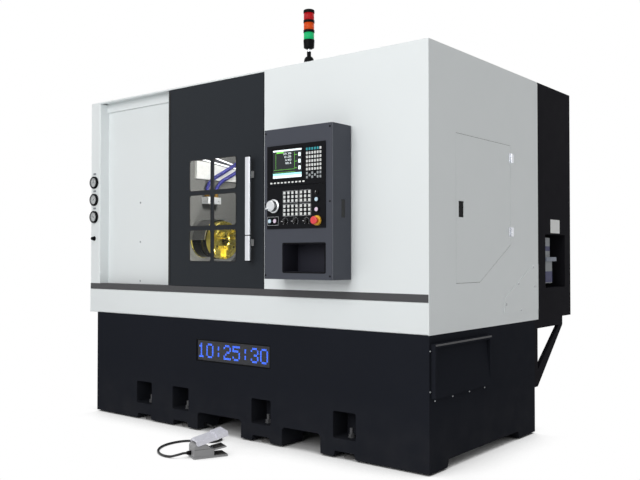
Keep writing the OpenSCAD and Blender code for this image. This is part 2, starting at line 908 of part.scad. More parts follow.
module roof_panel() color(cover_white) seat() {
  difference() {
    translate([-half_w, 0, panel_top]) linear_extrude(roof_rim) rounded(enclosure_w, enclosure_d, bend_r);
    block([-inner_x + roof_land, roof_land, panel_top - cut],
      [inner_x - roof_land, enclosure_d - roof_land, roof_z - sheet]);
  }
  difference() {
    block([recess_x, lintel_y, lintel_z], [door_x1 + door_gap, lintel_y + lintel_d, roof_z - sheet]);
    block([recess_x - cut, lintel_y + sheet, lintel_z + sheet],
      [door_x1 + door_gap + cut, lintel_y + lintel_d - sheet, roof_z - sheet - cut]);
  }
}

// The rear panel's vent: a row of slots between the left end and the cabinet
module rear_panel() color(cover_white) seat() difference() {
  block([-inner_x, enclosure_d - sheet, base_top], [inner_x, enclosure_d, panel_top]);
  for (i = [0 : vent_slots - 1]) along_y(enclosure_d - sheet - cut, enclosure_d + cut)
    translate([vent_x, vent_z + i * vent_pitch]) rounded(vent_w, vent_h, vent_h / 2);
}

// Cabinet at the rear right

module electrical_cabinet() color(cabinet_black) seat() difference() {
  translate([cabinet_x0, enclosure_d, cabinet_z0]) linear_extrude(roof_z - cabinet_z0)
    rounded(cabinet_w, cabinet_d, cabinet_r);
  difference() {
    block([cabinet_x0 + cabinet_wall, enclosure_d - cut, cabinet_z0 + cabinet_wall],
      [half_w - cabinet_wall, cabinet_y1 - cabinet_wall, roof_z - cabinet_wall]);
    block([half_w - cabinet_recess - cabinet_wall, window_y0 - cabinet_wall, recess_z0 - cabinet_wall],
      [half_w, window_y1 + cabinet_wall, recess_z1 + cabinet_wall]);
  }
  block([half_w - cabinet_recess, window_y0, recess_z0], [half_w + cut, window_y1, recess_z1]);
}

module tub(at, size, r) translate(at) linear_extrude(size[2]) rounded(size[0], size[1], r);

module lubricator() color(pale_grey) seat()
  translate([half_w - cabinet_recess, window_y0 + oiler_in, recess_z0]) {
    block(oiler_plate_at, oiler_plate_at + oiler_plate);
    tub(pump_at, pump, pump_r);
    tub(tray_at, tray, tray_r);
    tub(tank_at, tank, tank_r);
    translate(filler_at) cylinder(r = filler_r, h = filler_h);
  }

module bracket_outline() {
  bar_z = cabinet_z0 - bracket_bar_h;
  reach_y = base_d + bracket_reach;
  post_y = base_d + bracket_post_d;
  difference() {
    polygon([[base_d, bracket_low_z], [post_y, bracket_low_z], [reach_y, bar_z], [reach_y, cabinet_z0],
      [base_d, cabinet_z0]]);
    polygon([[post_y, bracket_low_z + bracket_foot], [reach_y - bracket_toe, bar_z], [post_y, bar_z]]);
  }
}

module cabinet_brackets() color(cabinet_black) seat()
  for (x = [cabinet_x0, half_w - bracket_w]) along_x(x, x + bracket_w) bracket_outline();

// Chamber

module bed_outline() polygon([
  [slant_y(bed_toe_s), base_top], [bed_back, base_top], [bed_back, slant_z(bed_top_s)],
  [slant_y(bed_top_s), slant_z(bed_top_s)], [slant_y(bed_toe_s), bed_toe_z]]);
function slant_y(s) = spindle_y + s * cos(slant) + bed_drop * sin(slant);
function slant_z(s) = spindle_z + s * sin(slant) - bed_drop * cos(slant);

module chamber_liner() color(liner_grey) seat() {
  difference() {
    translate([bulkhead_x, liner_y1 + sheet, base_top]) mirror([0, 1, 0])
      linear_extrude(liner_z1 - base_top)
        channel_fold(liner_x1 - bulkhead_x, liner_y1 + sheet - liner_y0, liner_y1 + sheet - liner_y0);
    along_x(bed_x0, liner_x1 + cut) offset(delta = liner_gap) bed_outline();
    translate([bulkhead_x - cut, spindle_y, spindle_z]) rotate([0, 90, 0])
      cylinder(r = guard_r, h = 2 * sheet);
  }
  along_x(bulkhead_x + 1, liner_x1 - 1) polygon([
    [liner_y0, rail_top - liner_gap], [chute_y1, base_top + chute_rise], [chute_y1, base_top],
    [chute_y1 - chute_t, base_top], [liner_y0, rail_top - liner_gap - chute_t]]);
  translate([bulkhead_x + sheet - 1, spindle_y, spindle_z]) rotate([0, 90, 0])
    rotate_extrude(angle = 180, start = 90) translate([guard_r, 0])
      square([guard_t, chuck_back - bulkhead_x + guard_over]);
}

module work_light() color([0.95, 0.96, 0.97]) seat()
  block([bulkhead_x + sheet, light_y0, light_z0],
    [bulkhead_x + sheet + light_t, light_y1, light_z0 + light_h]);

module coolant_block() color([0.93, 0.93, 0.92]) seat() {
  difference() {
    block([bulkhead_x + sheet, block_y0, block_z0], [bulkhead_x + sheet + block_d, block_y1, block_z1]);
    for (y = fitting_ys) translate([bulkhead_x + sheet + block_d + cut, y, block_z0 + nozzle_z])
      rotate([0, -90, 0]) cylinder(r = nozzle_r, h = nozzle_d);
  }
  for (y = fitting_ys) translate([fitting_x, y, block_z1 - 1]) {
    cylinder(r = fitting_r * 1.25, h = fitting_nut_h, $fn = 6);
    cylinder(r = fitting_r, h = fitting_h + 1);
  }
}

module coolant_hoses() color([0.18, 0.18, 0.55]) seat()
  for (route = hose_routes) tube(spline(route, hose_steps), hose_d, hose_sides);

module slant_bed() color(steel) seat() {
  along_x(bed_x0, bed_x1) bed_outline();
  on_slant() for (s = way_s)
    block([way_x0, s - way_w / 2, -bed_drop - cut], [bed_x1, s + way_w / 2, way_top]);
}

module headstock() color(casting_black) seat() on_slant() difference() {
  along_x(head_x0, head_x1) union() {
    circle(head_r, $fn = 96);
    translate([-head_foot, -bed_drop + slide_gap]) square([2 * head_foot, bed_drop]);
  }
  translate([head_x0 - cut, 0, 0]) rotate([0, 90, 0])
    cylinder(r = spindle_r, h = head_x1 - head_x0 + 2 * cut, $fn = 96);
}

module spindle() color(plastic_black) seat() translate([0, spindle_y, spindle_z]) rotate([0, 90, 0])
  rotate_extrude($fn = 96) polygon([
    [bar_r, cylinder_x0], [cylinder_r, cylinder_x0], [cylinder_r, head_x0 - flange_t],
    [spindle_r + flange_w, head_x0 - flange_t], [spindle_r + flange_w, head_x0 - slide_gap],
    [spindle_r - spindle_clearance, head_x0 - slide_gap],
    [spindle_r - spindle_clearance, head_x1 + slide_gap], [nose_neck, head_x1 + slide_gap],
    [nose_neck, nose_x], [nose_r, nose_x], [nose_r, chuck_back - groove_back],
    [nose_r - groove_sink, chuck_back - groove_back], [nose_r - groove_sink, chuck_back - groove_front],
    [nose_r, chuck_back - groove_front], [nose_r, chuck_back], [bar_r, chuck_back]]);

// Chuck: X is the spindle's axis from the chuck's face, Y runs out along the jaw

module on_chuck(angle = 0) translate([chuck_x, spindle_y, spindle_z]) rotate([angle, 0, 0]) children();

module jaw_slot() {
  block([-slot_lip - cut, slot_in, -slot_neck / 2], [cut, chuck_r + cut, slot_neck / 2]);
  block([-slot_deep, slot_in, -slot_wide / 2], [-slot_lip, chuck_r + cut, slot_wide / 2]);
}

module chuck_body() color(chuck_gold) seat() difference() {
  on_chuck() rotate([0, 90, 0]) rotate_extrude($fn = 96) polygon([
    [chuck_bore_r, -chuck_l], [chuck_r - chuck_back_chamfer, -chuck_l],
    [chuck_r, -chuck_l + chuck_back_chamfer], [chuck_r, -chuck_chamfer], [chuck_r - chuck_chamfer, 0],
    [chuck_bore_r + chuck_chamfer, 0], [chuck_bore_r, -chuck_chamfer]]);
  for (a = jaw_angles) on_chuck(a) jaw_slot();
  for (a = jaw_angles) on_chuck(a + 60) translate([-chuck_bolt_d, chuck_bolt_at, 0]) rotate([0, 90, 0])
    cylinder(r = chuck_bolt_r, h = chuck_bolt_d + cut);
}

// A jaw: the T-shaped master in the slot, and the stepped top jaw bolted to it
module chuck_jaw(i) color(chuck_gold) seat() on_chuck(jaw_angles[i]) difference() {
  union() {
    block([-slot_deep + slide_gap, jaw_in, -slot_wide / 2 + slide_gap],
      [-slot_lip - slide_gap, jaw_out, slot_wide / 2 - slide_gap]);
    block([-slot_lip - jaw_root, jaw_in, -slot_neck / 2 + slide_gap],
      [slide_gap + jaw_root, jaw_out, slot_neck / 2 - slide_gap]);
    translate([0, 0, -jaw_w / 2]) linear_extrude(jaw_w) polygon([
      [slide_gap, jaw_in - jaw_nose], [jaw_h, jaw_in - jaw_nose], [jaw_h, jaw_in + jaw_tip],
      [jaw_step, jaw_in + jaw_tip + jaw_slope], [jaw_step, jaw_out - jaw_edge],
      [jaw_step - jaw_edge, jaw_out], [slide_gap, jaw_out]]);
  }
  for (y = jaw_bolts) translate([jaw_h + cut, y, 0]) rotate([0, -90, 0])
    cylinder(r = jaw_bolt_r, h = jaw_h - jaw_bolt_floor);
}

module jaw_1() chuck_jaw(0);
module jaw_2() chuck_jaw(1);
module jaw_3() chuck_jaw(2);

// Slides and turret, in the slanted frame

module saddle() color(steel) seat() on_slant() {
  difference() {
    block([saddle_x0, saddle_s0, -bed_drop + saddle_lift], [saddle_x0 + saddle_l, saddle_s1, saddle_n]);
    for (s = way_s) block([saddle_x0 - cut, s - way_w / 2 - slide_gap, -bed_drop],
      [saddle_x0 + saddle_l + cut, s + way_w / 2 + slide_gap, way_top + slide_gap]);
    block([saddle_x0 - cut, way_s[0] + saddle_web, -bed_drop],
      [saddle_x0 + saddle_l + cut, way_s[1] - saddle_web, -bed_drop + saddle_relief]);
  }
  for (x = cross_way_x)
    block([x, saddle_s0 + cross_way_end, saddle_n - cut],
      [x + cross_way_w, saddle_s1, saddle_n + cross_way_h]);
}

module cross_slide() color(steel) seat() on_slant() difference() {
  union() {
    block([saddle_x0, cross_s0, cross_n0], [saddle_x0 + saddle_l, cross_s1, cross_n1]);
    along_x(house_x0, house_x1) {
      translate([turret_s, 0]) circle(house_r, $fn = 96);
      translate([turret_s - house_foot / 2, cross_n1 - cut]) square([house_foot, cross_drop + cut]);
    }
    along_x(house_x1 - cut, house_x1 + index_l) translate([turret_s - index_w / 2, cross_n1 - cut])
      square([index_w, index_h]);
  }
  for (x = cross_way_x) block([x - slide_gap, cross_s0 - cut, cross_n0 - cut],
    [x + cross_way_w + slide_gap, cross_s1 + cut, saddle_n + cross_way_h + slide_gap]);
  translate([house_x0 - cut, turret_s, 0]) rotate([0, 90, 0])
    cylinder(r = turret_shaft_r, h = turret_bore_l, $fn = 96);
}

module turret_disc() color(steel) seat() on_slant() translate([turret_x, turret_s, 0]) rotate([0, 90, 0]) {
  difference() {
    rotate(180 / turret_stations) cylinder(r = turret_r, h = turret_t, $fn = turret_stations);
    for (i = [0 : turret_stations - 1]) rotate(i * 360 / turret_stations)
      translate([turret_r * station_in, -station_w / 2, -cut]) cube([turret_r, station_w, station_d + cut]);
    translate([0, 0, -cut]) cylinder(r = turret_hub_r, h = turret_hub_d + cut);
  }
  translate([0, 0, turret_t - cut])
    cylinder(r = turret_shaft_r - spindle_clearance, h = turret_shaft_l + cut, $fn = 96);
}

// Signal lamp

module on_lamp(z = 0) translate([lamp_x, lamp_y, roof_z + z]) children();

module lamp_body() color(plastic_black) seat() on_lamp() {
  rotate_extrude() polygon(concat(
    [[0, 0], [lamp_foot_r, 0]], arc([0, lamp_foot_h - lamp_foot_round], lamp_foot_r, 0, 65),
    [[lamp_stub_r, lamp_foot_h], [lamp_stub_r, lamp_foot_h + lamp_stub_h],
    [lamp_pole_r, lamp_foot_h + lamp_stub_h], [lamp_pole_r, lamp_z], [lamp_r * 0.6, lamp_z],
    [lens_r, lamp_z + lamp_body_edge], [lamp_r, lamp_z + lamp_body_h - lamp_body_rim],
    [lamp_r, lamp_z + lamp_body_h], [0, lamp_z + lamp_body_h]]));
  translate([0, 0, lamp_z]) cylinder(r = lamp_core_r, h = 3 * lamp_section + lamp_body_h);
  for (i = [1, 2]) translate([0, 0, lens_z(i) - lamp_ring_h]) cylinder(r = lamp_r, h = lamp_ring_h);
  translate([0, 0, lens_z(3) - lamp_ring_h]) rotate_extrude() polygon(concat(
    [[0, 0], [lamp_r, 0]], arc([lamp_r - lamp_cap_r, lamp_ring_h - 2], lamp_cap_r, 0, 90),
    [[0, lamp_ring_h + lamp_cap_rise]]));
}

module lens(i) seat() on_lamp(lens_z(i)) difference() {
  cylinder(r = lens_r, h = lens_h);
  translate([0, 0, -cut]) cylinder(r = lens_r - lens_wall, h = lens_h + 2 * cut);
}

module lamp_green() color([0.08, 0.75, 0.45]) lens(0);
module lamp_amber() color([0.85, 0.33, 0.05]) lens(1);
module lamp_red() color([0.70, 0.04, 0.08]) lens(2);

// Control box

module control_box() color(box_grey) seat() difference() {
  translate([box_x, -box_d, box_z]) linear_extrude(box_h) rounded(box_w, box_d, box_r);
  difference() {
    block([box_x + box_wall, -box_d + box_wall, box_z + box_wall],
      [box_x1 - box_wall, cut, box_z1 - box_wall]);
    block([pocket_x0 - box_wall, -box_d, pocket_z0 - box_wall],
      [pocket_x1 + box_wall, -box_d + pocket_d + box_wall, pocket_z1 + box_wall]);
  }
  block([pocket_x0, -box_d - cut, pocket_z0], [pocket_x1, -box_d + pocket_d, pocket_z1]);
  block([unit_x + unit_lap, -box_d - cut, unit_bottom + unit_lap],
    [unit_x1 - unit_lap, -box_d + 2 * box_wall, unit_top - unit_lap]);
  block([box_x1 - socket_sink, socket_y0, socket_z0],
    [box_x1 + cut, socket_y0 + socket_w, socket_z0 + socket_h]);
}

// A front plate with a rim behind it, which reaches into the box
module panel_unit(z0, z1) {
  block([unit_x, face_y, z0], [unit_x1, -box_d, z1]);
  difference() {
    block([unit_x + unit_fit, -box_d - cut, z0 + unit_fit],
      [unit_x1 - unit_fit, -box_d + unit_rim, z1 - unit_fit]);
    block([unit_x + unit_in, -box_d - 2 * cut, z0 + unit_in],
      [unit_x1 - unit_in, -box_d + unit_rim + cut, z1 - unit_in]);
  }
}

module display_unit() color(plastic_black) seat() difference() {
  panel_unit(unit_split + unit_seam / 2, unit_top);
  block([unit_x + screen_in, face_y - cut, unit_top - screen_drop - screen_h],
    [unit_x + screen_in + screen_w, face_y + screen_sink, unit_top - screen_drop]);
}

module bezel(place) towards_front(place, face_y + cut) difference() {
  cylinder(r = button_r + bezel_w, h = bezel_h + cut);
  translate([0, 0, -cut]) cylinder(r = button_r, h = bezel_h + 3 * cut);
}

module panel_bore(place, r) towards_front(place, -box_d + 2 * cut) cylinder(r = r, h = unit_t + 20);

module operator_panel() color(plastic_black) seat() {
  difference() {
    union() {
      panel_unit(unit_bottom, unit_split - unit_seam / 2);
      towards_front(stop_at, face_y + cut) cylinder(r = stop_collar_r, h = stop_collar_h + cut);
      towards_front(wheel_at, face_y + cut) cylinder(r = wheel_flange_r, h = wheel_flange_h + cut);
    }
    for (p = concat(push_places, turn_places, [stop_at, wheel_at, key_at])) panel_bore(p, stem_r);
  }
  for (p = push_places) bezel(p);
}

// A control's stem in the panel, with the collar that holds it from behind
module stem(place, reach) towards_front(place, -box_d + collar_t) {
  cylinder(r = collar_r, h = collar_t);
  cylinder(r = stem_r - stem_fit, h = collar_t + unit_t + reach);
}

module push_button(place) seat() {
  stem(place, button_travel + 1);
  towards_front(place, face_y - button_travel - 0.5) rotate_extrude() polygon(concat(
    [[0, 0], [button_r - cap_gap, 0]],
    arc([button_r - cap_gap - 1.5, bezel_h + cap_out - button_travel - 2], 1.5, 0, 90),
    [[0, bezel_h + cap_out - button_travel]]));
}

module start_button() color(pale_blue) push_button(start_at);
module hold_button() color(pale_pink) push_button(hold_at);
module power_on_button() color(pale_blue) push_button(on_at);
module power_off_button() color(pale_pink) push_button(off_at);

module stop_button() color([0.85, 0.16, 0.18]) seat() {
  stem(stop_at, stop_collar_h + button_travel + 2);
  towards_front(stop_at, face_y - stop_collar_h - button_travel - 1) rotate_extrude() polygon(concat(
    [[0, 0], [mushroom_r * 0.7, 0], [mushroom_r * 0.75, mushroom_h * 0.4]],
    arc([mushroom_r - 5, mushroom_h - 6], 5, -60, 80), [[0, mushroom_h]]));
}

module turn_knob(place) seat() {
  stem(place, knob_skirt + control_in);
  towards_front(place, face_y - knob_skirt) {
    cylinder(r1 = knob_r, r2 = knob_r - knob_taper, h = knob_h * 0.5);
    translate([-knob_r * 0.9, -knob_grip / 2, 0]) cube([knob_r * 1.8, knob_grip, knob_h]);
  }
}

module feed_knob() color(plastic_black) turn_knob(feed_at);
module speed_knob() color(plastic_black) turn_knob(speed_at);
module mode_knob() color(plastic_black) turn_knob(mode_at);

module key_switch() color(plastic_black) seat() {
  stem(key_at, knob_skirt + control_in);
  towards_front(key_at, face_y - knob_skirt) {
    cylinder(r = knob_r - knob_taper, h = key_barrel_h);
    translate([-key_bow[0] / 2, -key_bow[1] / 2, 0]) cube(key_bow);
  }
}

module hand_wheel() color(steel) seat() {
  stem(wheel_at, wheel_flange_h + wheel_edge);
  towards_front(wheel_at, face_y - wheel_flange_h - wheel_gap) {
    rotate_extrude($fn = 72) polygon([
      [0, 0], [wheel_flange_r - wheel_flange_h, 0], [wheel_flange_r - wheel_flange_h, wheel_rim_h],
      [wheel_r, wheel_rim_h + wheel_flange_h], [wheel_r - wheel_edge / 2, wheel_h - wheel_edge],
      [wheel_r - wheel_edge * 1.5, wheel_h], [0, wheel_h]]);
    rotate(crank_turn) translate([wheel_r - crank_in, 0, wheel_h - cut]) cylinder(r = crank_r, h = crank_h);
  }
}

// Film keys in their blocks: display keys, soft keys and machine keys
module key_pad(x, z, size) along_y(face_y - key_t, face_y) translate([x, z]) square(size);

module display_pad(c, r) key_pad(
  unit_x + display_key_at[0] + c * display_key_pitch[0],
  unit_top - display_key_at[1] + r * display_key_pitch[1], display_key);

module panel_keys() color([0.88, 0.89, 0.88]) seat() {
  for (c = [0 : 5], r = [0 : 7]) if (r >= cursor_rows || c % 2 == 0 || c > 4) display_pad(c, r);
  for (c = [1, 3]) display_pad(c, (cursor_rows - 1) / 2);
  for (c = [0 : 9])
    key_pad(unit_x + soft_key_at[0] + c * soft_key_pitch, unit_top - soft_key_at[1], soft_key);
  for (c = [0 : 6], r = [0 : 5]) key_pad(
    unit_x + machine_key_at[0] + c * machine_key_pitch[0] + (c > 3 ? machine_key_break[0] : 0),
    unit_bottom + machine_key_at[1] + r * machine_key_pitch[1] + (r > 2 ? machine_key_break[1] : 0),
    machine_key);
}

module pressure_gauges() color(plastic_black) seat() {
  for (z = gauge_zs) towards_front([gauge_x, z], gauge_body_d) rotate_extrude() polygon([
    [0, 0], [gauge_body_r, 0], [gauge_body_r, gauge_body_d], [gauge_r, gauge_body_d],
    [gauge_r, gauge_body_d + gauge_out - gauge_edge], [gauge_r - gauge_edge, gauge_body_d + gauge_out],
    [gauge_r - gauge_lip, gauge_body_d + gauge_out],
    [gauge_r - gauge_lip, gauge_body_d + gauge_out - gauge_sink],
    [0, gauge_body_d + gauge_out - gauge_sink]]);
  towards_front([gauge_x, plug_z], 0) cylinder(r1 = plug_r, r2 = plug_r * 0.6, h = plug_h);
}

// Foot switch

module on_pedal() seat() translate([pedal_x, -pedal_y, 0]) rotate(pedal_turn) children();

// The cast block's side view: a rounded rear top, and cheeks that carry the treadle's pin
module pedal_block_outline() polygon(concat(
  [[pedal_x0 + pedal_end, pedal_plate_t - cut], [pedal_pin_x + pedal_cheek_r, pedal_plate_t - cut]],
  arc([pedal_pin_x, pedal_pin_z], pedal_cheek_r, 0, 90), [[pedal_x0 + pedal_top_l, pedal_block_h]],
  arc([pedal_x0 + pedal_end + pedal_rear_r, pedal_block_h - pedal_rear_r], pedal_rear_r, 90, 180)));

module pedal_base() color([0.60, 0.60, 0.61]) on_pedal() difference() {
  union() {
    translate([pedal_x0, -pedal_w / 2, 0]) linear_extrude(pedal_plate_t)
      rounded(pedal_l, pedal_w, pedal_corner);
    along_y(-pedal_block_w / 2, pedal_block_w / 2) pedal_block_outline();
  }
  block([pedal_x0 + pedal_slot_l, -pedal_block_w / 2 + pedal_cheek, pedal_plate_t],
    [pedal_x1, pedal_block_w / 2 - pedal_cheek, pedal_block_h + cut]);
  translate([pedal_pin_x, pedal_w / 2, pedal_pin_z]) rotate([90, 0, 0])
    cylinder(r = pedal_pin_r + pedal_fit, h = pedal_w);
  translate([pedal_x0 + pedal_end - cut, gland_side, gland_z]) rotate([0, 90, 0])
    cylinder(r = cord_d / 2 + gland_slack, h = gland_bore_d);
}

// The hood's side view in its tilted frame, round about its fixing at the rear
module hood_outline() polygon(concat(
  [[hood_l, hood_low], [hood_l, hood_rear_r]], arc([0, 0], hood_rear_r, 90, 270),
  [[hood_heel, -hood_rear_r]]));

module pedal_hood() color([0.88, 0.88, 0.92]) on_pedal()
  translate([pedal_x0 + hood_x, 0, hood_z]) rotate([0, -hood_tilt, 0]) difference() {
    union() {
      along_y(-pedal_w / 2, pedal_w / 2) hood_outline();
      block([hood_wide_x, -pedal_w / 2 - hood_flare, hood_low],
        [hood_l, pedal_w / 2 + hood_flare, hood_rear_r + hood_t]);
    }
    block([-2 * hood_rear_r, -pedal_w / 2 + hood_t, -2 * hood_rear_r],
      [hood_l + cut, pedal_w / 2 - hood_t, hood_rear_r - hood_t]);
    block([hood_wide_x + hood_t, -pedal_w / 2 - hood_flare + hood_t, hood_low - cut],
      [hood_l + cut, pedal_w / 2 + hood_flare - hood_t, hood_rear_r]);
    for (y = [-pedal_w / 2, pedal_w / 2]) translate([0, y, 0]) cube(hood_slot, center = true);
  }

// The treadle: its pin, and the plate tilted up to the open end
module pedal_treadle() color([0.45, 0.44, 0.44]) on_pedal() translate([pedal_pin_x, 0, pedal_pin_z]) {
  rotate([90, 0, 0]) cylinder(r = pedal_pin_r, h = pedal_block_w - pedal_pin_short, center = true);
  rotate([0, -treadle_tilt, 0]) along_y(-treadle_w / 2, treadle_w / 2) polygon([
    [-treadle_back, -treadle_t / 2], [treadle_l, -treadle_t / 2], [treadle_l, treadle_t / 2 - treadle_edge],
    [treadle_l - treadle_edge, treadle_t / 2], [-treadle_back, treadle_t / 2]]);
}

// Lead and its glands

module gland() rotate_extrude() polygon([
  [cord_d / 2 + gland_slack, 0], [gland_r, 0], [gland_r, gland_l * 0.55], [gland_r * 0.8, gland_l],
  [cord_d / 2 + gland_slack, gland_l]]);

module cord_glands() color(plastic_black) {
  on_pedal() translate([pedal_x0 + pedal_end, gland_side, gland_z]) rotate([0, -90, 0]) gland();
  seat() translate([tunnel_gland_x, tunnel_gland_y, tunnel_gland_z]) rotate([0, 90, 0]) gland();
}

module pedal_cord() color([0.13, 0.14, 0.15]) seat() tube(spline(cord_route, cord_steps), cord_d, cord_sides);

// Sliding door

module pane_places() for (c = [0, 1], r = [0 : 2])
  translate([door_x + pane_x + c * (pane_w + pane_bar), pane_z + r * (pane_h + pane_bar)]) children();

module door_panel() color(door_black) seat() {
  difference() {
    block([door_x, 0, door_z0], [door_x1, door_t, door_z1]);
    difference() {
      block([door_x + door_skin, door_skin, door_z0 + door_skin],
        [door_x1 - door_skin, door_t + cut, door_z1 - door_skin]);
      block([door_x + pane_x - 2 * pane_lap, 0, pane_z - 2 * pane_lap],
        [panes_x1 + 2 * pane_lap, pane_frame_t, panes_z1 + 2 * pane_lap]);
    }
    along_y(-cut, door_skin + cut) pane_places() rounded(pane_w, pane_h, pane_r);
    along_y(door_skin, door_t + cut) pane_places()
      translate([-pane_lap, -pane_lap]) square([pane_w + 2 * pane_lap, pane_h + 2 * pane_lap]);
  }
  for (x = [door_x + guide_in, door_x1 - guide_in - guide_l]) {
    block([x, groove_y + slide_gap, rail_top - groove_d + 2],
      [x + guide_l, groove_y + groove_w - slide_gap, door_z0 + cut]);
    block([x, door_skin, door_z1 - guide_h], [x + guide_l, lintel_y - slide_gap, door_z1 - door_skin + cut]);
  }
}

module door_glass() color([0.75, 0.82, 0.85, 0.35]) seat()
  along_y(door_skin, door_skin + pane_t) pane_places()
    translate([-pane_hold, -pane_hold]) square([pane_w + 2 * pane_hold, pane_h + 2 * pane_hold]);

module door_handle() color([0.85, 0.86, 0.88]) seat() {
  translate([handle_x - handle_w / 2, -handle_out, handle_z]) linear_extrude(handle_h)
    rounded(handle_w, handle_t, handle_r);
  for (z = post_zs) block([handle_x - post_in, -handle_out + handle_t - cut, z - post_h / 2],
    [handle_x - post_in + post_w, 0, z + post_h / 2]);
}

// Side door with its hinges and latch

module side_door() color(cover_white) seat() difference() {
  union() {
    along_x(inner_x + slide_gap, half_w) side_door_outline();
    along_x(inner_x - lip_w, inner_x + slide_gap + cut) difference() {
      offset(delta = -lip_w - lip_gap) side_door_outline();
      offset(delta = -lip_w - lip_gap - sheet) side_door_outline();
    }
    block([half_w - latch_d - sheet, latch_y0 - sheet, latch_z0 - sheet],
      [half_w - 1, latch_y0 + latch_w + sheet, latch_z0 + latch_h + sheet]);
  }
  block([half_w - latch_d, latch_y0, latch_z0], [half_w + cut, latch_y0 + latch_w, latch_z0 + latch_h]);
  latch_pin(latch_pin_r + hinge_fit, latch_w + 2 * sheet - 2 * latch_slack);
}

module latch_pin(r, length) translate(
  [half_w - latch_pin_in, latch_y0 + (latch_w - length) / 2, latch_z0 + latch_h - latch_pin_drop])
    rotate([-90, 0, 0]) cylinder(r = r, h = length);

module side_latch() color(plastic_black) seat() {
  block([half_w - latch_pin_in - latch_t / 2, latch_y0 + latch_slack, latch_z0 + latch_slack],
    [half_w - latch_pin_in + latch_t / 2, latch_y0 + latch_w - latch_slack,
      latch_z0 + latch_h - latch_pin_drop / 2]);
  latch_pin(latch_pin_r, latch_w + 2 * sheet - 3 * latch_slack);
}

// One hinge leaf: the plate, and the knuckles between the given heights
module hinge_plate(y0, y1) translate([0, 0, -hinge_h / 2])
  block([side_x, y0, 0], [side_x + hinge_t, y1, hinge_h]);

module knuckle(z0, z1, bore) translate([hinge_x, hinge_y, z0]) difference() {
  cylinder(r = knuckle_r, h = z1 - z0);
  translate([0, 0, -cut]) cylinder(r = bore, h = z1 - z0 + 2 * cut);
}

module hinge_leaves() color([0.85, 0.85, 0.87]) seat() for (z = hinge_zs) translate([0, 0, z]) {
  difference() {
    hinge_plate(hinge_y + leaf_gap, hinge_y + knuckle_r + hinge_leaf);
    translate([0, 0, -hinge_third / 2 - knuckle_gap]) block([side_x - cut, hinge_y - knuckle_r, 0],
      [hinge_x + knuckle_r, hinge_y + knuckle_r + cut, hinge_third + 2 * knuckle_gap]);
    translate([hinge_x, hinge_y, -hinge_h]) cylinder(r = hinge_pin_r + 1, h = 2 * hinge_h);
  }
  knuckle(hinge_third / 2 + knuckle_gap, hinge_h / 2, hinge_pin_r - 1);
  knuckle(-hinge_h / 2, -hinge_third / 2 - knuckle_gap, hinge_pin_r - 1);
  translate([hinge_x, hinge_y, -hinge_h / 2]) cylinder(r = hinge_pin_r, h = hinge_h);
}

module door_hinge_leaves() color([0.85, 0.85, 0.87]) seat() for (z = hinge_zs) translate([0, 0, z]) {
  difference() {
    hinge_plate(hinge_y - knuckle_r - door_leaf, hinge_y - leaf_gap);
    for (z0 = [hinge_third / 2, -hinge_h / 2 - cut]) block([side_x - cut, hinge_y - knuckle_r - cut, z0],
      [hinge_x + knuckle_r, hinge_y + knuckle_r, z0 + hinge_third + cut]);
    translate([hinge_x, hinge_y, -hinge_h]) cylinder(r = hinge_pin_r + hinge_fit, h = 2 * hinge_h);
  }
  knuckle(-hinge_third / 2, hinge_third / 2, hinge_pin_r + hinge_fit);
}

base_casting();
levelling_feet();
chip_hood();
sign_panel();
front_skirt();
door_rail();
front_right_panel();
front_left_panel();
left_end_cover();
right_side_panel();
roof_panel();
rear_panel();
electrical_cabinet();
lubricator();
cabinet_brackets();
chamber_liner();
work_light();
coolant_block();
coolant_hoses();
slant_bed();
headstock();
lamp_body();
lamp_red();
lamp_amber();
lamp_green();
control_box();
display_unit();
operator_panel();
panel_keys();
pressure_gauges();
pedal_base();
pedal_hood();
cord_glands();
pedal_cord();
door_panel();
door_glass();
door_handle();
side_door();
side_latch();
hinge_leaves();
door_hinge_leaves();
spindle();
chuck_body();
jaw_1();
jaw_2();
jaw_3();
saddle();
cross_slide();
turret_disc();
stop_button();
start_button();
hold_button();
power_on_button();
power_off_button();
feed_knob();
speed_knob();
mode_knob();
key_switch();
hand_wheel();
pedal_treadle();
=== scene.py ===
"""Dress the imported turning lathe: its finishes, fittings and lead, then the studio's light and camera."""

import logging
import math
from dataclasses import dataclass
from enum import Enum

import bmesh
import bpy
import numpy as np
from mathutils import Matrix, Vector


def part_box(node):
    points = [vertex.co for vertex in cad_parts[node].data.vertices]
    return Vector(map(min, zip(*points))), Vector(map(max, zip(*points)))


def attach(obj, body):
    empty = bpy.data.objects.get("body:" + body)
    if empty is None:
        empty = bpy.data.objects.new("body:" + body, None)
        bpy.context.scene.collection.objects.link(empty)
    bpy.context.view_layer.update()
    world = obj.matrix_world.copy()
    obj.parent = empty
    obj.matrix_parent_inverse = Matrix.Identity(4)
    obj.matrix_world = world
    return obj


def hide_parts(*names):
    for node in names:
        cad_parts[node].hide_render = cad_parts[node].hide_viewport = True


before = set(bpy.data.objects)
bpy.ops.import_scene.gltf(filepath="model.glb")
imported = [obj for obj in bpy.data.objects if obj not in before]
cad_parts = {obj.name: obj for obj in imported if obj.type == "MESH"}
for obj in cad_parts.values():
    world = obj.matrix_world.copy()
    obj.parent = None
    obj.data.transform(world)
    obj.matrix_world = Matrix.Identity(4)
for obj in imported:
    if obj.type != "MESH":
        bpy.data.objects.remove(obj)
log = logging.getLogger("turning_lathe")
Array = np.ndarray
Pair = tuple[float, float]
Triple = tuple[float, float, float]
Field = tuple[float, float, float, float]
Colour = Triple
Places = Array | list[Pair] | tuple[Pair, ...]
Socket = bpy.types.NodeSocket
ROOT = "machine"


# Places in the frame


def low(node: str) -> Array:
    """Lowest corner of a CAD node, in metres."""
    return np.array(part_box(node)[0])


def high(node: str) -> Array:
    """Highest corner of a CAD node, in metres."""
    return np.array(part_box(node)[1])


